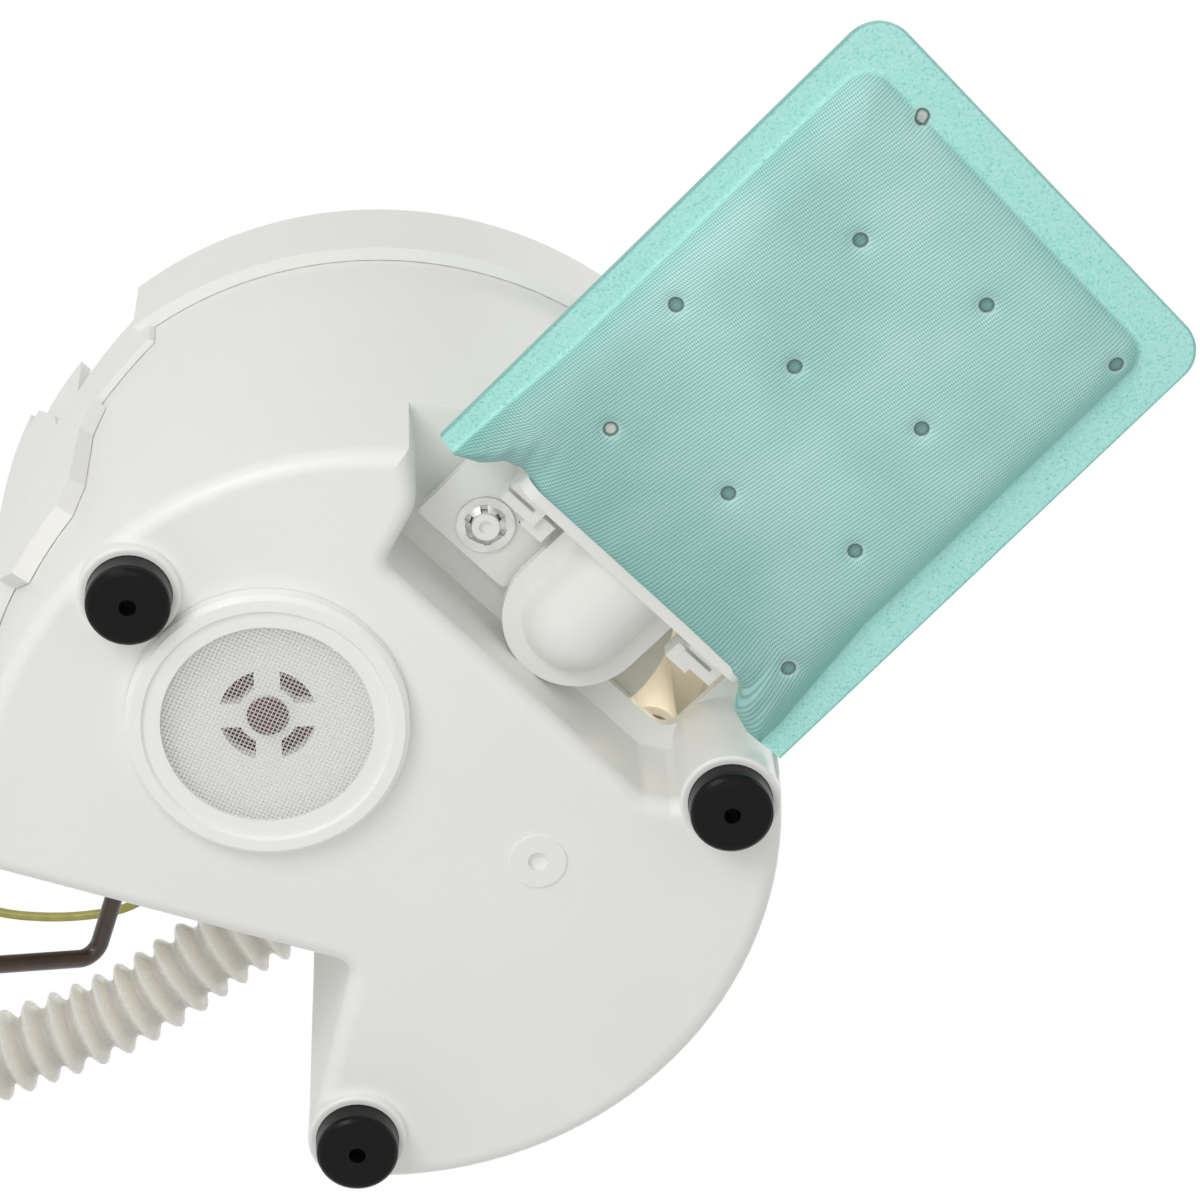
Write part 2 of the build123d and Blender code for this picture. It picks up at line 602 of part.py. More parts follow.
HOSE_POINTS = [
    (-30.0, 48.8, 122.15),
    (-51.5, 44.0, 122.15),
    (-75.2, 34.5, 120.5),
    (-100.3, 30.6, 118.0),
    (-126.0, 18.0, 117.0),
    (-165.6, 5.1, 120.0),
    (-181.9, -11.6, 123.5),
    (-188.5, -33.9, 127.0),
    (-183.9, -56.8, 130.5),
    (-169.3, -74.9, 134.0),
    (-147.9, -84.1, 138.0),
    (-124.7, -82.3, 142.0),
    (-105.0, -69.9, 146.0),
    (-92.0, -48.2, 149.0),
    (-76.0, -27.5, 149.5),
    (-60.0, -10.0, 149.0),
    (-46.0, 3.0, 148.0),
]

WIRE_RADIUS = 0.8
WIRE_POINTS = [
    (-38.8, -11.0, 80.7),
    (-42.0, -7.0, 90.0),
    (-57.0, 7.0, 102.0),
    (-76.0, 14.0, 106.0),
    (-90.0, 5.0, 107.0),
    (-102.0, -8.0, 110.0),
    (-108.0, -26.0, 118.0),
    (-98.0, -43.0, 129.0),
    (-79.0, -47.0, 142.0),
    (-62.0, -36.0, 150.0),
    (-51.0, -22.0, 151.0),
    (-44.0, -12.0, 155.0),
]


def soft_tube(name, points, radius, bore=0.0):
    """A cord's solid; prints its length, its volume against section times length, and its radii."""
    radii = cord_radii(points)
    path = rounded_path(points, radii)
    section = RegularPolygon(radius, CORD_SIDES)
    if bore:
        section -= RegularPolygon(bore / math.cos(math.pi / CORD_SIDES), CORD_SIDES)
    solid = sweep(Plane(path @ 0, z_dir=path % 0) * section, path=path)
    share = solid.volume / section.area / path.length
    print(name, "length", round(path.length, 1), "volume share", round(share, 4))
    print("  least radius in diameters", round(min(radii) / (2 * radius), 2), [round(r) for r in radii])
    return solid


def hose_clamp(start, after):
    """Crimp ring over one end of the hose."""
    along = (Vector(*after) - Vector(*start)).normalized()
    ring = Cylinder(HOSE_RADIUS + 0.5, 5.0, align=BOTTOM)
    ring -= Pos(0, 0, -1) * Cylinder(HOSE_RADIUS + 0.05, 8.0, align=BOTTOM)
    return Plane(start, z_dir=along) * Pos(0, 0, 4.0) * ring


# ---------------------------------------------------------------- rods, springs and flange


def guide_rods():
    """Two steel rods with rounded ends and a clip groove."""
    rods = Part()
    for place in RODS:
        rod = disc(place, ROD_Z[0], ROD_Z[1], ROD_RADIUS)
        rod = chamfer([e for e in rod.edges() if abs(e.center().Z - ROD_Z[0]) < 0.001], 0.6)
        rods += rod - pipe(place, 81.0, 82.0, 4.0, 2.4)
    return rods


def rod_clips():
    """E-clips that stop the pot from leaving the rods."""
    clips = Part()
    for place in RODS:
        clip = pipe(place, 81.1, 81.9, 5.0, 2.45)
        clips += clip - block((place[0] - 1.9, place[0] + 1.9), (place[1], place[1] + 6), (80, 83))
    return clips


def rod_spring(place):
    """Pressure spring round a rod, between the cover and the flange."""
    low = COVER_TOP_Z + 1.0
    high = FLANGE_Z - 1.0
    points = []
    for step in range(SPRING_TURNS * SPRING_SIDES + 1):
        across = toward(place, step * 360.0 / SPRING_SIDES, SPRING_RADIUS)
        points.append((*across, low + (high - low) * step / (SPRING_TURNS * SPRING_SIDES)))
    path = Polyline(*points)
    section = Plane(path @ 0, z_dir=path % 0) * RegularPolygon(SPRING_WIRE_RADIUS, 6)
    return sweep(section, path=path, transition=Transition.RIGHT)


def connector_box():
    """The flange's electrical socket: a rounded shroud with a floor."""
    outer = fillet(Rectangle(36.0, 17.0).vertices(), 3.0)
    shroud = up(outer, FLANGE_Z + FLANGE_THICKNESS - 0.5, FLANGE_Z + 20.0)
    pocket = up(offset(outer, amount=-1.8), FLANGE_Z + 7.5, FLANGE_Z + 21.0)
    keys = block((-12.0, -9.5), (8.4, 9.8), (FLANGE_Z + 3.5, FLANGE_Z + 18.0))
    keys += block((9.5, 12.0), (8.4, 9.8), (FLANGE_Z + 3.5, FLANGE_Z + 18.0))
    return shroud - pocket + keys


CONNECTOR = (-30.0, 38.0)
SUPPLY = (-2.0, 2.0)
RETURN = (-34.0, -6.0)
NIPPLE_Z = 179.0


def nipple(place, bearing, radius):
    """A fuel tower with a quick-connect spigot that lies level."""
    tower = disc(place, FLANGE_Z + FLANGE_THICKNESS - 0.5, NIPPLE_Z + radius + 2.5, radius + 2.5)
    top = [e for e in tower.edges() if abs(e.center().Z - NIPPLE_Z - radius - 2.5) < 0.001]
    tower = chamfer(top, 1.2)
    out = toward((0, 0), bearing, 1.0)
    plane = Plane((place[0], place[1], NIPPLE_Z), z_dir=(out[0], out[1], 0))
    profile = Polyline(
        (radius * 0.55, 0), (radius + 1.0, 0), (radius + 1.0, 19), (radius + 2.0, 19.6),
        (radius + 2.0, 21.2), (radius, 22), (radius, 34), (radius - 0.9, 36), (radius * 0.55, 36), close=True,
    )
    stub = plane * revolve(Plane.XZ * make_face(profile), axis=Axis.Z)
    bore = plane * Cylinder(radius * 0.55, 37, align=BOTTOM)
    return tower - bore + (stub - disc(place, FLANGE_Z, NIPPLE_Z + 20, radius * 0.55))


def flange():
    """Tank cap: plate with a raised inner wall and ribs, spigot ring below, connector and nipples."""
    top = FLANGE_Z + FLANGE_THICKNESS
    plate = Cylinder(FLANGE_RADIUS, FLANGE_THICKNESS, align=BOTTOM)
    plate = chamfer([e for e in plate.edges() if abs(e.center().Z - FLANGE_THICKNESS) < 0.001], 1.0)
    cap = Pos(FLANGE[0], FLANGE[1], FLANGE_Z) * plate
    cap += pipe(FLANGE, top - 0.5, top + 3.5, 55.0, 53.0)
    cap += pipe(FLANGE, FLANGE_Z - 3.0, FLANGE_Z + 0.5, 57.5, 55.5)
    for turn in range(12):
        rib = Rot(0, 0, turn * 30) * Pos(58.5, 0) * Rectangle(8.0, 1.6)
        cap += up(Pos(*FLANGE) * rib, top - 0.5, top + 2.6)
    for turn in (20, 140, 260):
        key = Rot(0, 0, turn) * Pos(FLANGE_RADIUS + 1.0, 0) * Rectangle(5.0, 9.0)
        cap += up(Pos(*FLANGE) * key, FLANGE_Z, FLANGE_Z + 3.0)
    cap += Pos(*CONNECTOR) * connector_box()
    for place in RODS:
        cap += disc(place, FLANGE_Z - 6.0, FLANGE_Z + 0.5, 5.2)
        cap += disc(place, top - 0.5, ROD_Z[1] + 2.0, 5.2)
    for place in RODS:
        cap -= disc(place, FLANGE_Z - 7.0, ROD_Z[1] + 0.05, ROD_RADIUS + 0.02)
    cap += nipple(SUPPLY, -20, 4.0) + nipple(RETURN, -110, 4.0)
    wire_seat = block((-49.0, -39.0), (-17.0, -7.0), (FLANGE_Z - 4.0, FLANGE_Z + 0.5))
    return cap + fillet(wire_seat.edges().filter_by(Axis.Z), 2.0)


def flange_seal():
    """Rubber ring in the corner under the flange."""
    ring = pipe(FLANGE, FLANGE_Z - 2.4, FLANGE_Z - 0.02, 62.0, 57.55)
    return chamfer([e for e in ring.edges() if abs(e.center().Z - FLANGE_Z + 2.4) < 0.001], 0.7)


def connector_terminals():
    """Four blades that stand in the flange's socket."""
    blades = Part()
    for x in (-10.5, -3.5, 3.5, 10.5):
        blade = block((x - 1.4, x + 1.4), (-0.4, 0.4), (FLANGE_Z + 7.5, FLANGE_Z + 17.0))
        blades += Pos(*CONNECTOR) * chamfer(blade.edges().filter_by(Axis.Y).sort_by(Axis.Z)[-2:], 0.6)
    return blades


def flange_elbow():
    """Elbow under the flange that carries the hose's upper end."""
    end = Vector(*HOSE_POINTS[-1])
    along = (Vector(*HOSE_POINTS[-2]) - end).normalized()
    corner = end - along * 9.0
    elbow = disc((corner.X, corner.Y), corner.Z, FLANGE_Z - 0.02, 5.0) + Pos(*corner) * Sphere(5.0)
    plane = Plane(corner, z_dir=along)
    elbow += plane * Cylinder(4.4, 24.0, align=BOTTOM) + plane * Pos(0, 0, 7.0) * Cylinder(6.4, 2.0, align=BOTTOM)
    for place in (13.0, 17.0, 21.0):
        elbow += plane * Pos(0, 0, place) * Cone(4.9, 4.4, 2.4, align=BOTTOM)
    elbow -= plane * Cylinder(2.4, 30.0, align=BOTTOM)
    return elbow - disc((corner.X, corner.Y), corner.Z, FLANGE_Z + 1, 2.4)


# ---------------------------------------------------------------- level sender

ALONG = toward((0, 0), NOTCH_SENDER_SIDE, 1.0)
OUTWARD = toward((0, 0), NOTCH_SENDER_SIDE - 90.0, 1.0)


def sender_point(reach, out, z):
    """A point by its distance along the notch wall, its distance out from the wall, and its height."""
    return (
        NOTCH_APEX[0] + reach * ALONG[0] + out * OUTWARD[0],
        NOTCH_APEX[1] + reach * ALONG[1] + out * OUTWARD[1],
        z,
    )


SENDER_PLANE = Plane(sender_point(SENDER_REACH, 0, SENDER_Z), x_dir=(*ALONG, 0), z_dir=(*OUTWARD, 0))


def on_sender(shape, x=0.0, y=0.0, out=0.0):
    """Places a shape on the notch wall: x runs along the wall, and y is up or down with the plane."""
    return SENDER_PLANE * Pos(x, y, out) * shape


UP = 1.0 if SENDER_PLANE.y_dir.Z > 0 else -1.0


def sender_housing():
    """Moulded carrier on the notch wall: back plate, side walls, bearing boss and wire terminal."""
    back = fillet(Rectangle(26.0, 34.0).vertices(), 2.0)
    body = on_sender(extrude(back, amount=2.0), 0, 2.0 * UP, 0.15)
    rim = back - offset(back, amount=-1.6)
    body += on_sender(extrude(rim, amount=7.0), 0, 2.0 * UP, 0.15)
    body += on_sender(Cylinder(4.6, 5.0, align=BOTTOM), 0, 0, 0.15)
    body += on_sender(Box(10.0, 3.0, 6.0, align=BOTTOM), -6.0, 18.6 * UP, 0.15)
    return body - on_sender(Cylinder(ARM_RADIUS + 0.08, 20.0, align=BOTTOM), 0, 0, 2.0)


def sender_card():
    """Ceramic resistor card behind the wiper's sweep."""
    return on_sender(Box(18.0, 9.0, 0.8, align=BOTTOM), 0, 10.8 * UP, 2.2)


def sender_wiper():
    """Plastic carrier clamped on the float arm, with the finger that carries the contact."""
    hub = Cylinder(5.4, 3.4, align=BOTTOM) + Pos(0, 7.5 * UP, 0) * Box(4.0, 8.0, 2.0, align=BOTTOM)
    hub += Pos(0, 10.6 * UP, -2.1) * Box(1.4, 1.4, 2.2, align=BOTTOM)
    hub -= Pos(0, 0, -1) * Cylinder(ARM_RADIUS + 0.02, 6.0, align=BOTTOM)
    return on_sender(Rot(0, 0, WIPER_REST) * hub, 0, 0, 5.3)


ARM_POINTS = [
    sender_point(SENDER_REACH, 4.0, SENDER_Z),
    sender_point(SENDER_REACH, ARM_OFFSET, SENDER_Z),
    sender_point(SENDER_REACH + 27.0, ARM_OFFSET, SENDER_Z - 18.7),
    sender_point(SENDER_REACH + 82.0, ARM_OFFSET, SENDER_Z - 36.5),
]


def float_arm():
    """Bent spring-steel wire from the carrier to the float."""
    path = rounded_path(ARM_POINTS, [3.4, 8.0])
    return sweep_along(path, ARM_RADIUS)


def float_plane():
    start = Vector(*ARM_POINTS[2])
    along = (Vector(*ARM_POINTS[3]) - start).normalized()
    return Plane(start, x_dir=(*OUTWARD, 0), z_dir=along)


def float_body():
    """Closed-cell float on the end of the arm."""
    outline = fillet(Rectangle(24.0, 18.0).vertices(), 5.0)
    body = extrude(outline, amount=38.0)
    ends = [e for e in body.edges() if abs(e.center().Z) < 0.001 or abs(e.center().Z - 38.0) < 0.001]
    body = fillet(ends, 2.0) - Pos(0, 0, -1) * Cylinder(ARM_RADIUS + 0.05, 45, align=BOTTOM)
    return float_plane() * Pos(0, 0, 19.0) * body


def float_clip():
    """Push-on washer that keeps the float on the wire."""
    washer = Cylinder(4.0, 0.8, align=BOTTOM) - Cylinder(ARM_RADIUS + 0.02, 3, align=BOTTOM)
    return float_plane() * Pos(0, 0, 57.3) * washer


# ---------------------------------------------------------------- all pieces

PIECES = {
    "reservoir": reservoir,
    "reservoir_cover": reservoir_cover,
    "floor_strainer_ring": floor_ring,
    "floor_strainer_mesh": floor_mesh,
    "floor_valve": floor_valve,
    "sock_strainer": sock_strainer,
    "sock_frame": sock_frame,
    "sock_push_nut": push_nut,
    "pump_holder": pump_holder,
    "pump_isolator": pump_isolator,
    "pump_inlet_cap": pump_inlet_cap,
    "pump_shell": pump_shell,
    "pump_outlet_cap": pump_outlet_cap,
    "pump_terminals": pump_terminals,
    "pump_impeller": pump_impeller,
    "pump_rotor": pump_rotor,
    "pump_magnets": pump_magnets,
    "fuel_duct": fuel_duct,
    "pressure_regulator": pressure_regulator,
    "guide_rods": guide_rods,
    "rod_clips": rod_clips,
    "flange": flange,
    "flange_seal": flange_seal,
    "flange_elbow": flange_elbow,
    "connector_terminals": connector_terminals,
    "sender_housing": sender_housing,
    "sender_card": sender_card,
    "sender_wiper": sender_wiper,
    "float_arm": float_arm,
    "float": float_body,
    "float_clip": float_clip,
}

for piece_name, build in PIECES.items():
    write(piece_name, build())
for piece_name, foot_place in FOOT_PLACES.items():
    write(piece_name, rubber_foot(foot_place))
for piece_name, rod_place in zip(("rod_spring_front", "rod_spring_back"), RODS):
    write(piece_name, rod_spring(rod_place))
write("hose_clamp_pot", hose_clamp(HOSE_POINTS[0], HOSE_POINTS[1]))
write("hose_clamp_cap", hose_clamp(HOSE_POINTS[-1], HOSE_POINTS[-2]))
write("hose", soft_tube("hose", HOSE_POINTS, HOSE_RADIUS, HOSE_BORE))
write("sender_wire", soft_tube("sender_wire", WIRE_POINTS, WIRE_RADIUS))
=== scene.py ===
import math

import bpy
import numpy as np
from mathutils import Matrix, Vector


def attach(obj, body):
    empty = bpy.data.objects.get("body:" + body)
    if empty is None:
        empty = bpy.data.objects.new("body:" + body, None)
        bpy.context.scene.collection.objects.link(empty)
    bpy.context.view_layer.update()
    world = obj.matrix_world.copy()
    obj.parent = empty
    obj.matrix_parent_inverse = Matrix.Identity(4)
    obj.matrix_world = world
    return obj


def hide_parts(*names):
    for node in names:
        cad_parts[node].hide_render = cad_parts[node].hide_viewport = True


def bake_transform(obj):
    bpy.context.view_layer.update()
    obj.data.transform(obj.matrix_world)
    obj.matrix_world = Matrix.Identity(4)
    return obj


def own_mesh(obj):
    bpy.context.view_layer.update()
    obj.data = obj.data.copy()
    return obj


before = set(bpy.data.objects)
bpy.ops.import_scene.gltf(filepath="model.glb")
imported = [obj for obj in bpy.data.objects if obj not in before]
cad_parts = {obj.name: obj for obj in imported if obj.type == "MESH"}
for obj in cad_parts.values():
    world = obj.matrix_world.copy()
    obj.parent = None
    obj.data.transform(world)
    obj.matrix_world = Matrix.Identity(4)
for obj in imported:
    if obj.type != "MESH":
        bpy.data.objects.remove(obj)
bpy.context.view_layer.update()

bl_info = {
    "name": "Fuel pump module",
    "version": (1, 0, 0),
    "blender": (4, 5, 0),
    "location": "3D View > Sidebar > Fuel pump",
    "description": "Dresses the fuel pump module's frame with its soft parts, springs and finishes",
    "category": "Add Mesh",
}

MM = 0.001
# The pot's own frame, in which routes and outlines are written, and its offset to the module's
POT_TO_MODULE = Vector((17.0, -17.0, -160.0))


def at(x, y, z):
    """A point in the module's frame, in metres, from millimetres in the pot's own frame."""
    return (Vector((x, y, z)) + POT_TO_MODULE) * MM


# ------------------------------------------------------------------ settings


class HoseSettings(bpy.types.PropertyGroup):
    crest_radius: bpy.props.FloatProperty(
        name="Crest radius",
        description="Radius of the hose over its corrugations",
        default=8.4 * MM,
        unit="LENGTH",
    )
    valley_radius: bpy.props.FloatProperty(
        name="Valley radius",
        description="Radius of the hose between its corrugations",
        default=5.9 * MM,
        unit="LENGTH",
    )
    bore_radius: bpy.props.FloatProperty(
        name="Bore radius", description="Radius of the hose's inside", default=5.05 * MM, unit="LENGTH"
    )
    pitch: bpy.props.FloatProperty(
        name="Pitch", description="Distance from crest to crest", default=5.05 * MM, unit="LENGTH"
    )
    cuff: bpy.props.FloatProperty(
        name="Cuff", description="Least plain length at each end", default=12.5 * MM, unit="LENGTH"
    )
    cuff_radius: bpy.props.FloatProperty(
        name="Cuff radius", description="Radius of the plain ends", default=7.0 * MM, unit="LENGTH"
    )
    colour: bpy.props.StringProperty(
        name="Colour", description="Colour of the nylon, in hex", default="#EFECE2"
    )


class WireSettings(bpy.types.PropertyGroup):
    radius: bpy.props.FloatProperty(
        name="Radius", description="Radius over the insulation", default=0.87 * MM, unit="LENGTH"
    )
    colour: bpy.props.StringProperty(
        name="Colour", description="Colour of the insulation, in hex", default="#B4AF5C"
    )


class SpringSettings(bpy.types.PropertyGroup):
    coil_radius: bpy.props.FloatProperty(
        name="Coil radius", description="Mean radius of the coil", default=6.7 * MM, unit="LENGTH"
    )
    wire_radius: bpy.props.FloatProperty(
        name="Wire radius", description="Radius of the spring's wire", default=0.8 * MM, unit="LENGTH"
    )
    turns: bpy.props.IntProperty(name="Turns", description="Turns of each spring", default=6)


class BagSettings(bpy.types.PropertyGroup):
    border: bpy.props.FloatProperty(
        name="Border thickness",
        description="Thickness of the welded border",
        default=1.3 * MM,
        unit="LENGTH",
    )
    height: bpy.props.FloatProperty(
        name="Height", description="Thickness of the bag between its welds", default=9.5 * MM, unit="LENGTH"
    )
    mesh_colour: bpy.props.StringProperty(
        name="Mesh colour", description="Colour of the woven mesh, in hex", default="#D2FBF7"
    )
    border_colour: bpy.props.StringProperty(
        name="Border colour", description="Colour of the welded border, in hex", default="#B4F2E9"
    )


class StageSettings(bpy.types.PropertyGroup):
    sky: bpy.props.FloatProperty(
        name="Sky", description="Strength of the even light from all round", default=0.54, min=0.0
    )
    key: bpy.props.FloatProperty(
        name="Key lamp", description="Power of the large lamp", default=2.5, min=0.0, subtype="POWER"
    )
    top: bpy.props.FloatProperty(
        name="Top lamp",
        description="Power of the lamp above the flange",
        default=1.5,
        min=0.0,
        subtype="POWER",
    )
    fill: bpy.props.FloatProperty(
        name="Fill lamp",
        description="Power of the lamp beside the camera",
        default=0.95,
        min=0.0,
        subtype="POWER",
    )
    inner: bpy.props.FloatProperty(
        name="Light inside",
        description="Power of the small lamp that stands for light passing through the pot's walls",
        default=0.032,
        min=0.0,
        subtype="POWER",
    )


# ------------------------------------------------------------------ finishes


def linear(hex_colour):
    """An sRGB hex colour as linear red, green, blue and alpha."""
    channels = [int(hex_colour[i : i + 2], 16) / 255 for i in (1, 3, 5)]
    return [c / 12.92 if c <= 0.04045 else ((c + 0.055) / 1.055) ** 2.4 for c in channels] + [1.0]


def add_node(material, kind, inputs=(), **settings):
    """Adds a node with its settings; each input is a value, or a node and the name of its output."""
    node = material.node_tree.nodes.new(kind)
    for name, value in settings.items():
        setattr(node, name, value)
    for name, value in dict(inputs).items():
        if isinstance(value, tuple) and isinstance(value[0], bpy.types.Node):
            material.node_tree.links.new(value[0].outputs[value[1]], node.inputs[name])
        else:
            node.inputs[name].default_value = value
    return node


def new_material(name):
    material = bpy.data.materials.new(name)
    material.use_nodes = True
    material.node_tree.nodes.clear()
    return material


def finish_surface(material, shader, socket="BSDF"):
    add_node(material, "ShaderNodeOutputMaterial", {"Surface": (shader, socket)})
    return material


def object_point(material):
    return add_node(material, "ShaderNodeTexCoord"), "Object"


def noise(material, size_mm, detail=3.0, roughness=0.55):
    """Cloudy noise whose lumps are about this many millimetres across."""
    return add_node(
        material,
        "ShaderNodeTexNoise",
        {
            "Vector": object_point(material),
            "Scale": 1 / (size_mm * MM),
            "Detail": detail,
            "Roughness": roughness,
        },
    )


def ramp(material, source, stops):
    """A colour ramp from hex colours or grey levels; stops are (position, value)."""
    node = add_node(material, "ShaderNodeValToRGB", {"Fac": source})
    elements = node.color_ramp.elements
    while len(elements) < len(stops):
        elements.new(0.5)
    for element, (position, value) in zip(elements, stops):
        element.position = position
        element.color = linear(value) if isinstance(value, str) else [value, value, value, 1.0]
    return node


def bump(material, height, depth_mm, strength=1.0, under=None):
    inputs = {"Height": height, "Distance": depth_mm * MM, "Strength": strength}
    if under:
        inputs["Normal"] = under
    return add_node(material, "ShaderNodeBump", inputs)


def moulded_plastic(name, light, dark, roughness, grain_mm=0.9, depth_mm=0.015, glow=0.0):
    """Injection-moulded plastic: faint flow clouds, fine grain and the gloss of a polished tool."""
    material = new_material(name)
    clouds = noise(material, 30.0, 3.0)
    colour = ramp(material, (clouds, "Fac"), [(0.3, dark), (0.7, light)])
    grain = noise(material, grain_mm, 2.0)
    sinks = noise(material, 22.0, 1.0)
    relief = bump(material, (grain, "Fac"), depth_mm, 0.5)
    relief = bump(material, (sinks, "Fac"), 0.08, 0.3, (relief, "Normal"))
    gloss = ramp(material, (clouds, "Fac"), [(0.25, roughness - 0.03), (0.8, roughness + 0.04)])
    shader = add_node(
        material,
        "ShaderNodeBsdfPrincipled",
        {
            "Base Color": (colour, "Color"),
            "Roughness": (gloss, "Color"),
            "IOR": 1.48,
            "Subsurface Weight": glow,
            "Subsurface Radius": (0.004, 0.0035, 0.003),
            "Subsurface Scale": 0.4,
            "Normal": (relief, "Normal"),
        },
    )
    return finish_surface(material, shader)


def moulded_rubber(name, light, dark, roughness, shine=0.5):
    """Compression-moulded rubber: matt, with a little bloom and fine pores."""
    material = new_material(name)
    bloom = noise(material, 2.6, 4.0, 0.65)
    colour = ramp(material, (bloom, "Fac"), [(0.35, dark), (0.75, light)])
    pores = noise(material, 0.35, 2.0)
    relief = bump(material, (pores, "Fac"), 0.03, 0.5)
    shader = add_node(
        material,
        "ShaderNodeBsdfPrincipled",
        {
            "Base Color": (colour, "Color"),
            "Roughness": roughness,
            "IOR": 1.5,
            "Specular IOR Level": shine,
            "Normal": (relief, "Normal"),
        },
    )
    return finish_surface(material, shader)


def metal(name, light, dark, roughness, grain_mm=0.6, depth_mm=0.01):
    """Drawn, stamped or plated metal: fine uneven brightness and small scratches."""
    material = new_material(name)
    patches = noise(material, grain_mm * 5, 4.0, 0.6)
    colour = ramp(material, (patches, "Fac"), [(0.3, dark), (0.7, light)])
    fine = noise(material, grain_mm, 3.0)
    relief = bump(material, (fine, "Fac"), depth_mm, 0.5)
    gloss = ramp(material, (fine, "Fac"), [(0.3, roughness - 0.06), (0.7, roughness + 0.08)])
    shader = add_node(
        material,
        "ShaderNodeBsdfPrincipled",
        {
            "Base Color": (colour, "Color"),
            "Metallic": 1.0,
            "Roughness": (gloss, "Color"),
            "Normal": (relief, "Normal"),
        },
    )
    return finish_surface(material, shader)


def lacquered_wire(name):
    """Bent steel wire under a clear brown passivation: smooth, with a soft pinkish highlight."""
    material = new_material(name)
    draw = noise(material, 4.0, 2.0)
    colour = ramp(material, (draw, "Fac"), [(0.3, "#392C24"), (0.7, "#463629")])
    shader = add_node(
        material,
        "ShaderNodeBsdfPrincipled",
        {
            "Base Color": (colour, "Color"),
            "Roughness": 0.34,
            "IOR": 1.42,
            "Coat Weight": 0.35,
            "Coat Roughness": 0.2,
        },
    )
    return finish_surface(material, shader)


def thread_waves(material, pitches_mm, angle, place=None):
    """Rounded threads both ways, each way with its own spacing, as two heights from 0 to 1."""
    turned = add_node(
        material,
        "ShaderNodeMapping",
        {"Vector": place or object_point(material), "Rotation": (0.0, 0.0, angle)},
    )
    parts = add_node(material, "ShaderNodeSeparateXYZ", {"Vector": (turned, "Vector")})
    waves = []
    for axis, pitch_mm in zip("XY", pitches_mm):
        per_metre = math.pi / (pitch_mm * MM)
        scaled = add_node(
            material, "ShaderNodeMath", {0: (parts, axis), 1: per_metre}, operation="MULTIPLY"
        )
        wave = add_node(material, "ShaderNodeMath", {0: (scaled, "Value")}, operation="SINE")
        waves.append(add_node(material, "ShaderNodeMath", {0: (wave, "Value")}, operation="ABSOLUTE"))
    return waves


def mesh_disc(name):
    """Fine woven nylon mesh: pale threads, with open holes that let the dark behind show through."""
    # the real threads are about 0.1 mm apart, too fine to show, so they are drawn 0.7 mm apart
    material = new_material(name)
    waves = thread_waves(material, (0.66, 0.66), math.radians(20))
    threads = add_node(
        material, "ShaderNodeMath", {0: (waves[0], "Value"), 1: (waves[1], "Value")}, operation="MAXIMUM"
    )
    colour = ramp(material, (threads, "Value"), [(0.3, "#EAEAE6"), (0.95, "#FAFAF8")])
    relief = bump(material, (threads, "Value"), 0.05, 0.8)
    cloth = add_node(
        material,
        "ShaderNodeBsdfPrincipled",
        {"Base Color": (colour, "Color"), "Roughness": 0.6, "IOR": 1.53, "Normal": (relief, "Normal")},
    )
    cover = ramp(material, (threads, "Value"), [(0.93, 0.01), (0.99, 0.55)])
    clear = add_node(material, "ShaderNodeBsdfTransparent")
    mixed = add_node(
        material,
        "ShaderNodeMixShader",
        {0: (cover, "Color"), 1: (clear, "BSDF"), 2: (cloth, "BSDF")},
    )
    return finish_surface(material, mixed, "Shader")


def blend_colours(material, share, under, over, mode="MIX"):
    return add_node(
        material, "ShaderNodeMix", {0: share, 6: under, 7: over}, data_type="RGBA", blend_type=mode
    )


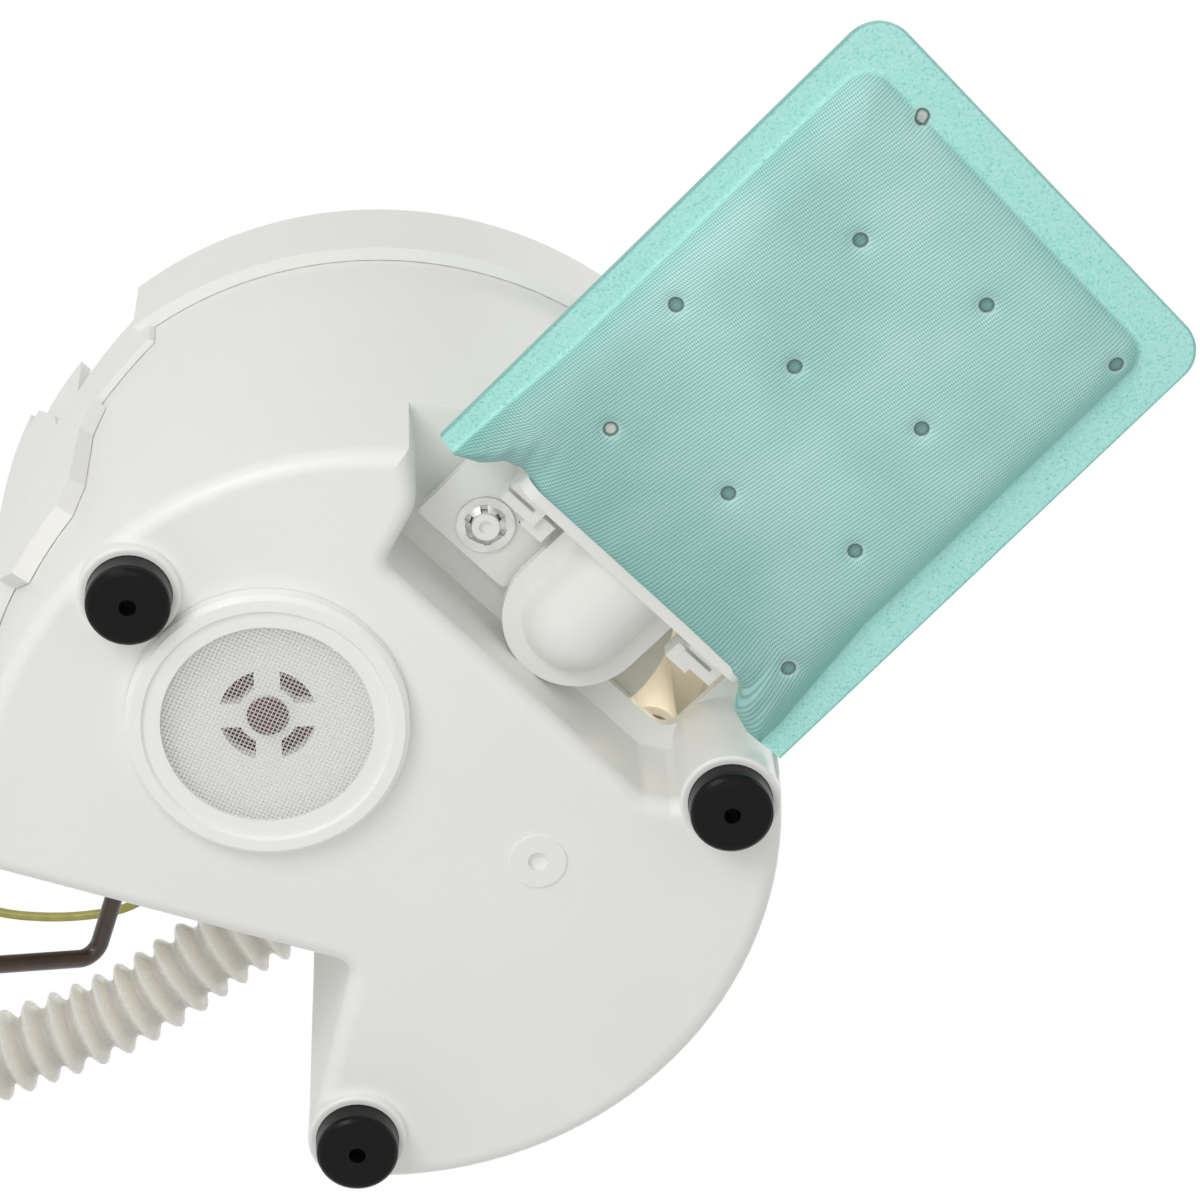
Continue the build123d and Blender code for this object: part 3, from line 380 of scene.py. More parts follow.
def bag_fabric(name, mesh_colour, border_colour):
    """Woven nylon mesh with a welded non-woven border and fused weld spots."""
    # The bag's own attributes: seam, in mm inside the border's seam; hem, in mm inside the outer edge;
    # spot, distance from the nearest weld in units of 4 mm; pale, 1 at the welds with a pale middle;
    # lean, 1 where the mesh falls steeply, where it gets a painted shade of darker teal; lay, the place on
    # the flat cloth, so that the threads bunch closer on the slopes; away, 0 beside the frame, where the
    # mesh gets painted shade, to 1.
    # The mesh's threads are about 0.15 mm apart, too fine to show, so they are drawn 0.6 mm apart.
    material = new_material(name)
    seam, hem, spot, pale, lean, lay, away = (
        add_node(material, "ShaderNodeAttribute", attribute_name=own)
        for own in ("seam", "hem", "spot", "pale", "lean", "lay", "away")
    )
    across, along = thread_waves(material, (0.42, 0.6), math.radians(-9), (lay, "Vector"))
    lines = ramp(material, (along, "Value"), [(0.15, "#9FD6CE"), (0.85, mesh_colour)])
    ticks = ramp(material, (across, "Value"), [(0.1, "#C4D2D0"), (0.8, "#FFFFFF")])
    weave = blend_colours(material, 1.0, (lines, "Color"), (ticks, "Color"), "MULTIPLY")
    patches = noise(material, 22.0, 2.0)
    tone = ramp(material, (patches, "Fac"), [(0.35, "#E6F0EE"), (0.7, "#FFFFFF")])
    weave = blend_colours(material, 1.0, (weave, 2), (tone, "Color"), "MULTIPLY")
    # painted shade: the mesh is darkened towards the frame, where the pot shades it
    painted_frame_shade = ramp(material, (away, "Fac"), [(0.0, "#DCE2E1"), (1.0, "#FFFFFF")])
    weave = blend_colours(material, 1.0, (weave, 2), (painted_frame_shade, "Color"), "MULTIPLY")
    # painted shade: the steep bands of the mesh are darkened towards teal
    painted_slope_shade = ramp(material, (lean, "Fac"), [(0.1, 0.0), (1.0, 0.6)])
    weave = blend_colours(material, (painted_slope_shade, "Color"), (weave, 2), linear("#66C4B2"))
    felt = noise(material, 0.5, 4.0, 0.8)
    border = ramp(
        material,
        (felt, "Fac"),
        [(0.3, "#6CC9BA"), (0.47, border_colour), (0.56, border_colour), (0.72, "#E6F9F6")],
    )
    in_border = ramp(material, (seam, "Fac"), [(0.0, 1.0), (0.4, 0.0)])
    colour = blend_colours(material, (in_border, "Color"), (weave, 2), (border, "Color"))
    at_hem = ramp(material, (hem, "Fac"), [(0.1, 0.6), (0.4, 0.0)])
    colour = blend_colours(material, (at_hem, "Color"), (colour, 2), linear("#5E9F91"))
    ring = ramp(material, (spot, "Fac"), [(0.32, 0.55), (0.5, 0.0)])
    colour = blend_colours(material, (ring, "Color"), (colour, 2), linear("#CBE9E3"))
    melt = ramp(material, (spot, "Fac"), [(0.0, "#7FA8A1"), (0.2, "#6C9A93"), (0.3, "#45625D")])
    core = ramp(material, (spot, "Fac"), [(0.17, 1.0), (0.24, 0.0)])
    core = blend_colours(material, (pale, "Fac"), linear("#000000"), (core, "Color"))
    melt = blend_colours(material, (core, 2), (melt, "Color"), linear("#CFCFC9"))
    in_spot = ramp(material, (spot, "Fac"), [(0.29, 1.0), (0.35, 0.0)])
    colour = blend_colours(material, (in_spot, "Color"), (colour, 2), (melt, 2))
    height = blend_colours(material, (in_border, "Color"), (along, "Value"), (felt, "Fac"))
    relief = bump(material, (height, 2), 0.09, 0.7)
    shader = add_node(
        material,
        "ShaderNodeBsdfPrincipled",
        {
            "Base Color": (colour, 2),
            "Roughness": 0.55,
            "IOR": 1.5,
            "Sheen Weight": 0.2,
            "Sheen Roughness": 0.4,
            "Normal": (relief, "Normal"),
        },
    )
    return finish_surface(material, shader)


def corrugated_nylon(name, colour):
    """Blow-moulded nylon tube: milky and a little see-through, with painted shade darkening the valleys."""
    material = new_material(name)
    valley = add_node(material, "ShaderNodeAttribute", attribute_name="valley")
    # painted shade: the valleys and the bore are darker than the crests
    tone = ramp(material, (valley, "Fac"), [(0.0, colour), (0.55, "#ECE8DD"), (1.0, "#E3DFD3")])
    haze = noise(material, 3.0, 3.0)
    gloss = ramp(material, (haze, "Fac"), [(0.3, 0.2), (0.7, 0.32)])
    shader = add_node(
        material,
        "ShaderNodeBsdfPrincipled",
        {
            "Base Color": (tone, "Color"),
            "Roughness": (gloss, "Color"),
            "IOR": 1.5,
            "Subsurface Weight": 0.85,
            "Subsurface Radius": (0.006, 0.006, 0.005),
            "Subsurface Scale": 0.5,
        },
    )
    return finish_surface(material, shader)


def insulation(name, colour):
    """Extruded wire insulation: smooth and glossy, with a faint uneven tint."""
    material = new_material(name)
    tint = noise(material, 2.0, 2.0)
    shade = ramp(material, (tint, "Fac"), [(0.3, "#A19C50"), (0.7, colour)])
    shader = add_node(
        material,
        "ShaderNodeBsdfPrincipled",
        {"Base Color": (shade, "Color"), "Roughness": 0.32, "IOR": 1.45},
    )
    return finish_surface(material, shader)


# ------------------------------------------------------------------ shared modelling


def start_clean():
    if bpy.context.mode != "OBJECT":
        bpy.ops.object.mode_set(mode="OBJECT")
    bpy.ops.object.select_all(action="DESELECT")


def settle(obj):
    """Leaves the object at the origin, with its place in its mesh."""
    start_clean()
    obj.select_set(True)
    bpy.context.view_layer.objects.active = obj
    bpy.ops.object.transform_apply(location=True, rotation=True, scale=True)
    return obj


def apply_modifiers(obj):
    start_clean()
    obj.select_set(True)
    bpy.context.view_layer.objects.active = obj
    for modifier in list(obj.modifiers):
        bpy.ops.object.modifier_apply(modifier=modifier.name)
    return obj


def dress(obj, material):
    obj.data.materials.clear()
    obj.data.materials.append(material)


def route_line(name, points, samples):
    """Evenly spaced points on the smooth line that a soft route follows."""
    curve = bpy.data.curves.new(name, "CURVE")
    curve.dimensions = "3D"
    curve.resolution_u = 40
    spline = curve.splines.new("NURBS")
    spline.points.add(len(points) - 1)
    for point, place in zip(spline.points, points):
        point.co = (*at(*place), 1.0)
    spline.order_u = 3
    spline.use_endpoint_u = True
    holder = bpy.data.objects.new(name, curve)
    bpy.context.scene.collection.objects.link(holder)
    bpy.context.view_layer.update()
    line = bpy.data.meshes.new_from_object(holder)
    places = np.array([v.co for v in line.vertices], float)
    bpy.data.objects.remove(holder)
    bpy.data.meshes.remove(line)
    steps = np.linalg.norm(np.diff(places, axis=0), axis=1)
    along = np.concatenate([[0.0], np.cumsum(steps)])
    wanted = np.linspace(0.0, along[-1], samples)
    return np.column_stack([np.interp(wanted, along, places[:, i]) for i in range(3)]), along[-1]


def tube_mesh(name, line, rings, sides, mark_name=None, hollow=False):
    """A closed round tube along a line; each ring is its place on the line, its radius and its mark."""
    tangents = np.gradient(line, axis=0)
    tangents /= np.linalg.norm(tangents, axis=1)[:, None]
    side = np.cross(tangents[0], (0.0, 0.0, 1.0))
    side /= np.linalg.norm(side)
    vertices = []
    marks = []
    turns = np.linspace(0, 2 * math.pi, sides, endpoint=False)
    frames = []
    for tangent in tangents:
        side = side - tangent * side.dot(tangent)
        side /= np.linalg.norm(side)
        frames.append((side.copy(), np.cross(tangent, side)))
    for index, radius, mark in rings:
        low = int(math.floor(index))
        share = index - low
        high = min(low + 1, len(line) - 1)
        centre = line[low] * (1 - share) + line[high] * share
        across, up = frames[low]
        ring = centre + radius * (np.outer(np.cos(turns), across) + np.outer(np.sin(turns), up))
        vertices.extend(ring.tolist())
        marks.extend([mark] * sides)
    count = len(rings)
    faces = []
    for r in range(count - 1):
        for s in range(sides):
            t = (s + 1) % sides
            faces.append((r * sides + s, r * sides + t, (r + 1) * sides + t, (r + 1) * sides + s))
    if hollow:
        last = count - 1
        for s in range(sides):
            t = (s + 1) % sides
            faces.append((last * sides + s, last * sides + t, t, s))
    else:
        faces.append(tuple(range(sides))[::-1])
        faces.append(tuple((count - 1) * sides + s for s in range(sides)))
    mesh = bpy.data.meshes.new(name)
    mesh.from_pydata(vertices, [], faces)
    mesh.update()
    if mark_name:
        layer = mesh.attributes.new(mark_name, "FLOAT", "POINT")
        layer.data.foreach_set("value", np.array(marks, np.float32))
    obj = bpy.data.objects.new(name, mesh)
    bpy.context.scene.collection.objects.link(obj)
    start_clean()
    obj.select_set(True)
    bpy.context.view_layer.objects.active = obj
    bpy.ops.object.mode_set(mode="EDIT")
    bpy.ops.mesh.select_all(action="SELECT")
    bpy.ops.mesh.normals_make_consistent(inside=False)
    bpy.ops.object.mode_set(mode="OBJECT")
    bpy.ops.object.shade_smooth_by_angle(angle=math.radians(50))
    return obj


# ------------------------------------------------------------------ hose and wire

# Routes in the pot's own frame, in millimetres
HOSE_ROUTE = [
    (-30.0, 48.8, 122.15),
    (-51.5, 44.0, 122.15),
    (-75.2, 34.5, 120.5),
    (-100.3, 30.6, 118.0),
    (-126.0, 18.0, 117.0),
    (-165.6, 5.1, 120.0),
    (-181.9, -11.6, 123.5),
    (-188.5, -33.9, 127.0),
    (-183.9, -56.8, 130.5),
    (-169.3, -74.9, 134.0),
    (-147.9, -84.1, 138.0),
    (-124.7, -82.3, 142.0),
    (-105.0, -69.9, 146.0),
    (-92.0, -48.2, 149.0),
    (-76.0, -27.5, 149.5),
    (-60.0, -10.0, 149.0),
    (-46.0, 3.0, 148.0),
]
WIRE_ROUTE = [
    (-38.8, -11.0, 80.7),
    (-42.0, -7.0, 90.0),
    (-57.0, 7.0, 102.0),
    (-76.0, 14.0, 106.0),
    (-90.0, 5.0, 107.0),
    (-102.0, -8.0, 110.0),
    (-108.0, -26.0, 118.0),
    (-98.0, -43.0, 129.0),
    (-79.0, -47.0, 142.0),
    (-62.0, -36.0, 150.0),
    (-51.0, -22.0, 151.0),
    (-44.0, -12.0, 155.0),
]

HOSE_SAMPLES = 1400
HOSE_SIDES = 28
# Rings of the mesh for each rib, and rings along the whole bore
RIB_STEPS = 10
BORE_RINGS = 90
# The plain cuffs share what the ribs leave over, a little more of it at the pot
POT_CUFF_SHARE = 0.53
# How much sharper a crest is than a valley
CREST_SHARPNESS = 1.3
# The ribs beside a cuff are lower, where the hose was drawn over its nipple: their share of the full
# height, and the number of cuff lengths over which they would rise by a whole height
FIRST_RIB = 0.45
RIB_RISE = 4
# The mark of a plain cuff, between 0 on a crest and 1 in a valley or in the bore; the mark sets the painted
# valley shade
CUFF_MARK = 0.4
WIRE_SAMPLES = 220
WIRE_SIDES = 12



class FUELPUMP_OT_hose(bpy.types.Operator):
    """Adds the corrugated hose from the pot's duct to the flange"""

    bl_idname = "fuelpump.hose"
    bl_label = "Corrugated hose"

    def execute(self, context):
        settings = context.scene.fuel_hose
        line, length = route_line("hose_route", HOSE_ROUTE, HOSE_SAMPLES)
        plain = settings.cuff
        ribs = int((length - 2 * plain) / settings.pitch)
        start = (length - ribs * settings.pitch) * POT_CUFF_SHARE
        end = start + ribs * settings.pitch
        per_metre = (HOSE_SAMPLES - 1) / length
        rings = [(place * per_metre, settings.cuff_radius, CUFF_MARK) for place in (0.0, start)]
        rise = settings.crest_radius - settings.valley_radius
        for step in range(ribs * RIB_STEPS + 1):
            wave = (1 - math.cos(2 * math.pi * step / RIB_STEPS)) / 2
            place = start + step / RIB_STEPS * settings.pitch
            past_cuff = min(place, length - place) - plain
            room = min(1.0, FIRST_RIB + past_cuff / (RIB_RISE * plain))
            radius = settings.valley_radius + rise * room * wave**CREST_SHARPNESS
            rings.append((place * per_metre, radius, 1 - wave))
        rings.append((end * per_metre, settings.cuff_radius, CUFF_MARK))
        rings.append((HOSE_SAMPLES - 1.0, settings.cuff_radius, CUFF_MARK))
        for index in np.linspace(HOSE_SAMPLES - 1.0, 0.0, BORE_RINGS):
            rings.append((index, settings.bore_radius, 1.0))
        hose = tube_mesh("corrugated_hose", line, rings, HOSE_SIDES, "valley", hollow=True)
        dress(hose, corrugated_nylon("nylon_blow_moulded", settings.colour))
        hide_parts("hose")
        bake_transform(hose)
        return {"FINISHED"}


class FUELPUMP_OT_sender_wire(bpy.types.Operator):
    """Adds the level sender's thin wire"""

    bl_idname = "fuelpump.sender_wire"
    bl_label = "Sender wire"

    def execute(self, context):
        settings = context.scene.fuel_wire
        line, _ = route_line("wire_route", WIRE_ROUTE, WIRE_SAMPLES)
        rings = [(float(i), settings.radius, 0.0) for i in range(WIRE_SAMPLES)]
        wire = tube_mesh("level_sender_wire", line, rings, WIRE_SIDES)
        dress(wire, insulation("extruded_insulation", settings.colour))
        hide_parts("sender_wire")
        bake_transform(wire)
        return {"FINISHED"}


# ------------------------------------------------------------------ springs


SPRING_PLACES = {"rod_spring_front": (-4.0, -27.0), "rod_spring_back": (20.0, 48.0)}
SPRING_LOW = 115.5
SPRING_HIGH = 159.0
SPRING_SIDES = 12
SPRING_STEPS = 36


class FUELPUMP_OT_springs(bpy.types.Operator):
    """Winds the two pressure springs round the guide rods"""

    bl_idname = "fuelpump.springs"
    bl_label = "Rod springs"

    def execute(self, context):
        settings = context.scene.fuel_spring
        steel = metal("drawn_spring_steel", "#BDBBB6", "#8F8D88", 0.3, 0.3)
        height = (SPRING_HIGH - SPRING_LOW) * MM
        for node, (x, y) in SPRING_PLACES.items():
            start_clean()
            bpy.ops.mesh.primitive_circle_add(
                vertices=SPRING_SIDES,
                radius=settings.wire_radius,
                location=(settings.coil_radius, 0, 0),
                rotation=(math.pi / 2, 0, 0),
            )
            spring = bpy.context.object
            spring.name = "coil_" + node
            bpy.ops.object.transform_apply(location=True, rotation=True, scale=True)
            screw = spring.modifiers.new("wind", "SCREW")
            screw.iterations = settings.turns
            screw.screw_offset = height / settings.turns
            screw.steps = SPRING_STEPS
            screw.render_steps = SPRING_STEPS
            apply_modifiers(spring)
            bpy.ops.object.mode_set(mode="EDIT")
            bpy.ops.mesh.select_all(action="SELECT")
            bpy.ops.mesh.fill_holes(sides=SPRING_SIDES)
            bpy.ops.mesh.normals_make_consistent(inside=False)
            bpy.ops.object.mode_set(mode="OBJECT")
            spring.location = at(x, y, SPRING_LOW)
            settle(spring)
            bpy.ops.object.shade_smooth_by_angle(angle=math.radians(60))
            dress(spring, steel)
            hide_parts(node)
            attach(spring, "pot")
            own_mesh(spring)
        return {"FINISHED"}


# ------------------------------------------------------------------ strainer bag

# The bag's inner edge in the pot's own frame, from the ear beside the front foot to the other ear
BAG_INNER = [
    (55.5, -39.7),
    (54.7, -36.0),
    (56.7, -32.0),
    (59.6, -29.5),
    (60.7, -26.5),
    (60.5, -19.3),
    (60.4, -9.8),
    (60.4, 0.4),
    (60.4, 10.8),
    (60.2, 21.2),
    (58.2, 25.9),
    (54.6, 28.2),
    (53.2, 32.6),
    (53.6, 40.1),
]
BAG_FAR = ((153.7, -40.8), (151.1, 38.0))
BAG_CORNER_RADIUS = (6.6, 5.4)
# The outer sides: where each one starts, and how far it leans in for each millimetre along it
LOW_SIDE = (-39.7, 0.0115)
HIGH_SIDE = (40.1, 0.0215)
FAR_SIDE = (153.7, 0.032)
# Width of the welded border: beside the frame and further out, and at the far side
LOW_BORDER = (3.2, 4.6)
HIGH_BORDER = (4.4, 6.8)
FAR_BORDER = 7.0
HEM_CORNER = 6.0
SEAM_CORNER = 5.0
# The swelling rises over this depth inside a seam, and faster where it rests on the frame
SHOULDER = 8.0
FRAME_SHOULDER = 3.0
# Steep bands, which get a painted shade of darker teal: depth of the band inside each seam, and how steep
# it is there
STEEP = {"high": (5.5, 1.0), "low": (3.5, 0.45), "far": (2.0, 0.3), "near": (1.1, 0.8)}
# Weld spots: place, and 1 where the middle is pale
BAG_WELDS = [
    (125.8, -16.6, 0),
    (146.0, -23.4, 1),
    (98.1, -29.6, 0),
    (132.2, 5.5, 0),
    (103.9, -8.8, 0),
    (139.6, 27.9, 0),
    (76.2, -22.2, 1),
    (110.7, 13.3, 0),
    (81.5, -0.9, 0),
    (88.7, 20.9, 0),
    (66.8, 28.1, 0),
]
BAG_LEVEL = 12.0
BAG_GRID = (220, 180)
BAG_SIZE = (97.0, 79.0)
WELD_DEPTH = 1.1
WELD_REACH = 1.7
PUCKER = 0.22
# The threads fan out beside the frame, up to this place, by this much for each millimetre
FAN_END = 68.0
FAN = 0.0145


def round_far_corners(x, y):
    """Draws the patch's two square far corners in, onto their arcs."""
    for (corner_x, corner_y), radius, side in zip(BAG_FAR, BAG_CORNER_RADIUS, (-1, 1)):
        a = np.clip(x - (corner_x - radius), 0, None)
        b = np.clip(side * (y - (corner_y - side * radius)), 0, None)
        reach = np.maximum(a, b)
        scale = np.where((a > 0) & (b > 0), reach / np.maximum(np.hypot(a, b), 1e-9), 1.0)
        x = np.where(scale < 1, corner_x - radius + a * scale, x)
        y = np.where(scale < 1, corner_y - side * radius + side * b * scale, y)
    return x, y


def inside_rounded(first, second, radius):
    """Distance in from a corner's two sides, rounded where they meet."""
    over = np.hypot(np.clip(radius - first, 0, None), np.clip(radius - second, 0, None))
    return np.where((first < radius) | (second < radius), radius - over, np.minimum(first, second))


def dome(depth, radius):
    """Height, from 0 to 1, of a quarter-round shoulder at this depth inside its edge."""
    return np.sqrt(np.clip(1 - (1 - np.clip(depth / radius, 0, 1)) ** 2, 0, 1))


def cloth_length(height, step, axis):
    """Place along the cloth: the way over its slopes, counted from the middle of the grid."""
    rise = np.diff(height, axis=axis, prepend=np.take(height, [0], axis=axis))
    way = np.cumsum(np.hypot(step, rise), axis=axis)
    return way - np.take(way, [way.shape[axis] // 2], axis=axis)


def bag_places(share_x, share_y):
    """Places on the flat bag for even shares of its length and width, inner edge to far edge."""
    inner = np.array(BAG_INNER)
    far = np.array(BAG_FAR)
    # the inner edge is walked by its length, so that the grid's rows stay even
    walk = np.concatenate([[0], np.cumsum(np.abs(np.diff(inner[:, 1])) + 0.5)])
    low = np.column_stack([np.interp(share_y * walk[-1], walk, inner[:, i]) for i in range(2)])
    high = far[0] + np.outer(share_y, far[1] - far[0])
    place = low * (1 - share_x[:, None]) + high * share_x[:, None]
    return round_far_corners(place[:, 0], place[:, 1])


def bag_depths(x, y):
    """Distances in from the outer edge, from each side's seam, from all seams and from the frame."""
    inner = np.array(BAG_INNER)
    hem_low = y - LOW_SIDE[0] + LOW_SIDE[1] * (x - inner[0, 0])
    hem_high = HIGH_SIDE[0] - HIGH_SIDE[1] * (x - inner[-1, 0]) - y
    hem_far = FAR_SIDE[0] - FAR_SIDE[1] * (y - BAG_FAR[0][1]) - x
    outward = np.clip((x - 58) / 22, 0, 1)
    depths = {
        "hem": inside_rounded(np.minimum(hem_low, hem_high), hem_far, HEM_CORNER),
        "low": hem_low - np.interp(outward, (0, 1), LOW_BORDER),
        "high": hem_high - np.interp(outward, (0, 1), HIGH_BORDER),
        "far": hem_far - FAR_BORDER,
        "near": x - np.interp(y, inner[:, 1], inner[:, 0]),
    }
    depths["seam"] = inside_rounded(np.minimum(depths["low"], depths["high"]), depths["far"], SEAM_CORNER)
    return depths


class FUELPUMP_OT_strainer_bag(bpy.types.Operator):
    """Makes the strainer's mesh bag with its welded border and weld spots"""

    bl_idname = "fuelpump.strainer_bag"
    bl_label = "Strainer bag"

    def execute(self, context):
        settings = context.scene.fuel_bag
        start_clean()
        columns, rows = BAG_GRID
        bpy.ops.mesh.primitive_grid_add(x_subdivisions=columns, y_subdivisions=rows, size=2.0)
        bag = bpy.context.object
        bag.name = "strainer_bag"
        flat = np.array([v.co for v in bag.data.vertices], float)
        share_x = (flat[:, 0] + 1) / 2
        share_y = (flat[:, 1] + 1) / 2
        x, y = bag_places(share_x, share_y)
        depths = bag_depths(x, y)
        seam, near = depths["seam"], depths["near"]
        half = settings.height / 2
        ear = np.clip((np.abs(y) - 22.5) / 4, 0, 1)
        near_height = dome(near + 1.2, FRAME_SHOULDER) * (1 - ear) + dome(near, SHOULDER) * ear
        height = half * np.minimum(dome(seam, SHOULDER), near_height)
        smooth = np.maximum(height, settings.border / 2)
        spots = np.array(BAG_WELDS, float)
        gaps = np.hypot(x[:, None] - spots[:, 0], y[:, None] - spots[:, 1])
        nearest = gaps.min(axis=1)
        dip = WELD_DEPTH * MM * np.exp(-((nearest / WELD_REACH) ** 2))
        height -= dip * (height > WELD_DEPTH * 2 * MM)
        # small puckers where the mesh is gathered into the ears
        folds = np.sin((y * 1.9 + x * 0.6)) * np.exp(-((near - 4) ** 2) / 14) * ear
        height += PUCKER * MM * folds * (seam > 0.5)
        height = np.maximum(height, settings.border / 2)
        for vertex, px, py in zip(bag.data.vertices, x, y):
            vertex.co = at(px, py, BAG_LEVEL)
        grid = (rows + 1, columns + 1)
        order = np.lexsort((share_x, share_y))
        heights = smooth[order].reshape(grid)
        way_x = np.empty(len(x))
        way_y = np.empty(len(x))
        way_x[order] = cloth_length(heights, BAG_SIZE[0] * MM / columns, 1).ravel()
        way_y[order] = cloth_length(heights, BAG_SIZE[1] * MM / rows, 0).ravel()
        way_y /= 1 + FAN * np.clip(FAN_END - x, 0, None)
        steepness = [
            share * np.clip(1 - depths[side] / reach, 0, 1) for side, (reach, share) in STEEP.items()
        ]
        own = {
            "seam": seam,
            "hem": depths["hem"],
            "spot": nearest / 4,
            "pale": spots[gaps.argmin(axis=1), 2],
            # away and lean carry the painted shade beside the frame and on the steep bands
            "away": np.clip((x - 62) / 32, 0, 1),
            "lean": np.maximum.reduce(steepness),
        }
        for name, values in own.items():
            layer = bag.data.attributes.new(name, "FLOAT", "POINT")
            layer.data.foreach_set("value", values.astype(np.float32))
        lay = bag.data.attributes.new("lay", "FLOAT_VECTOR", "POINT")
        ways = np.column_stack([way_x, way_y, way_x * 0])
        lay.data.foreach_set("vector", ways.astype(np.float32).ravel())
        group = bag.vertex_groups.new(name="thickness")
        for index, value in enumerate(height):
            group.add([index], float(min(1.0, 2 * value / settings.height)), "REPLACE")
        thick = bag.modifiers.new("two_layers", "SOLIDIFY")
        thick.thickness = settings.height
        thick.offset = 0.0
        thick.vertex_group = "thickness"
        apply_modifiers(bag)
        bpy.ops.object.shade_smooth_by_angle(angle=math.radians(70))
        dress(bag, bag_fabric("nylon_mesh_welded", settings.mesh_colour, settings.border_colour))
        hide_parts("sock_strainer")
        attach(bag, "pot")
        return {"FINISHED"}


# ------------------------------------------------------------------ finishes of the frame's pieces


def finishes():
    """Each finish, with the pieces of the frame that it goes on."""
    return (
        # acetal, injection-moulded: milky, satin, a little light passes into it
        (moulded_plastic("acetal_moulded_pot", "#F6F6F3", "#F3F3EF", 0.34, glow=0.12), ("reservoir",)),
        (
            moulded_plastic("acetal_moulded_cover", "#F7F6F3", "#F3F2EE", 0.4, glow=0.1),
            ("reservoir_cover",),
        ),
        (
            moulded_plastic("acetal_moulded_flange", "#E2E1DC", "#DEDDD7", 0.4, glow=0.1),
            ("flange", "fuel_duct"),
        ),
        (
            moulded_plastic("acetal_moulded_frame", "#F0F0EC", "#EDEDE8", 0.3, glow=0.12),
            ("sock_frame", "sender_wiper"),
        ),
        (
            moulded_plastic("acetal_moulded_ring", "#FBFBF8", "#F8F8F5", 0.3, glow=0.12),
            ("floor_strainer_ring",),
        ),
        (
            moulded_plastic("polyphenylene_sulphide_moulded", "#D8D4C7", "#D0CCBE", 0.45),
            ("pump_holder", "pump_inlet_cap", "pump_impeller", "flange_elbow"),
        ),
        (
            moulded_plastic("glass_filled_acetal_moulded", "#2E2F32", "#232427", 0.45),
            ("pump_outlet_cap", "sender_housing"),
        ),
        (
            moulded_rubber("nitrile_moulded", "#131314", "#0D0D0E", 0.28, 0.14),
            ("foot_front", "foot_side", "foot_notch"),
        ),
        (moulded_rubber("fluorocarbon_moulded", "#262626", "#141414", 0.5), ("flange_seal",)),
        (moulded_rubber("natural_nitrile_moulded", "#C4BCA6", "#B0A68D", 0.55), ("pump_isolator",)),
        (moulded_rubber("fluorosilicone_moulded", "#5E2A28", "#45201E", 0.5), ("floor_valve",)),
        (moulded_rubber("nitrile_foam", "#38322D", "#1E1A17", 0.8), ("float",)),
        (mesh_disc("nylon_woven_disc"), ("floor_strainer_mesh",)),
        (metal("zinc_plated_spring_washer", "#DCDCDA", "#C4C4C1", 0.25), ("sock_push_nut",)),
        (
            metal("zinc_plated_steel", "#CFCFCB", "#A9A9A4", 0.28),
            ("pump_shell", "pressure_regulator", "hose_clamp_pot", "hose_clamp_cap", "guide_rods"),
        ),
        (metal("spring_steel_stamped", "#A8A6A1", "#7C7A75", 0.3), ("rod_clips", "float_clip")),
        (lacquered_wire("brown_lacquered_wire"), ("float_arm",)),
        (metal("tinned_brass", "#D6D4CE", "#B3B0A8", 0.25), ("connector_terminals", "pump_terminals")),
        (metal("lacquered_copper_winding", "#A0643C", "#6E4226", 0.4), ("pump_rotor",)),
        (moulded_rubber("sintered_ferrite", "#4A4A4E", "#333336", 0.6), ("pump_magnets",)),
        (moulded_plastic("alumina_printed_card", "#DDD7C6", "#CFC8B4", 0.4), ("sender_card",)),
    )


class FUELPUMP_OT_finishes(bpy.types.Operator):
    """Gives each rigid piece of the frame its finish"""

    bl_idname = "fuelpump.finishes"
    bl_label = "Finishes"

    def execute(self, context):
        dressed = set()
        for material, names in finishes():
            for name in names:
                dress(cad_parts[name], material)
                dressed.add(name)
        soft = {"hose", "sender_wire", "sock_strainer", "rod_spring_front", "rod_spring_back"}
        left = set(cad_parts) - dressed - soft
        if left:
            raise RuntimeError(f"no finish for {sorted(left)}")
        return {"FINISHED"}


# ------------------------------------------------------------------ stage

CAMERA_PLACE = (0.27016, -0.25682, -0.86034)
CAMERA_TURN = (156.4709, 2.1878, 45.0)
CAMERA_LENS = 144.0
CAMERA_SENSOR = 36.0
# Square lamps: the name of each one and of its power setting, its place in the pot's frame, its side
# in metres
LAMPS = (
    ("key", (200, -750, -520), 0.4),
    ("top", (300, 400, 900), 0.8),
    ("fill", (150, -330, -740), 0.5),
)
LAMP_TARGET = (0, 0, 60)
INNER_PLACE = (42, 30, 72)
INNER_RADIUS = 0.02


def one_sided_floor(name):
    """Pale studio floor that shows from above only, and lets light pass up to the object's underside."""
    material = new_material(name)
    rays = add_node(material, "ShaderNodeLightPath")
    geometry = add_node(material, "ShaderNodeNewGeometry")
    front = add_node(
        material, "ShaderNodeMath", {0: 1.0, 1: (geometry, "Backfacing")}, operation="SUBTRACT"
    )
    seen = add_node(
        material,
        "ShaderNodeMath",
        {0: (rays, "Is Camera Ray"), 1: (front, "Value")},
        operation="MULTIPLY",
    )
    paint = add_node(material, "ShaderNodeBsdfDiffuse", {"Color": linear("#F4F4F2")})
    clear = add_node(material, "ShaderNodeBsdfTransparent")
    mixed = add_node(
        material, "ShaderNodeMixShader", {0: (seen, "Value"), 1: (clear, "BSDF"), 2: (paint, "BSDF")}
    )
    return finish_surface(material, mixed, "Shader")


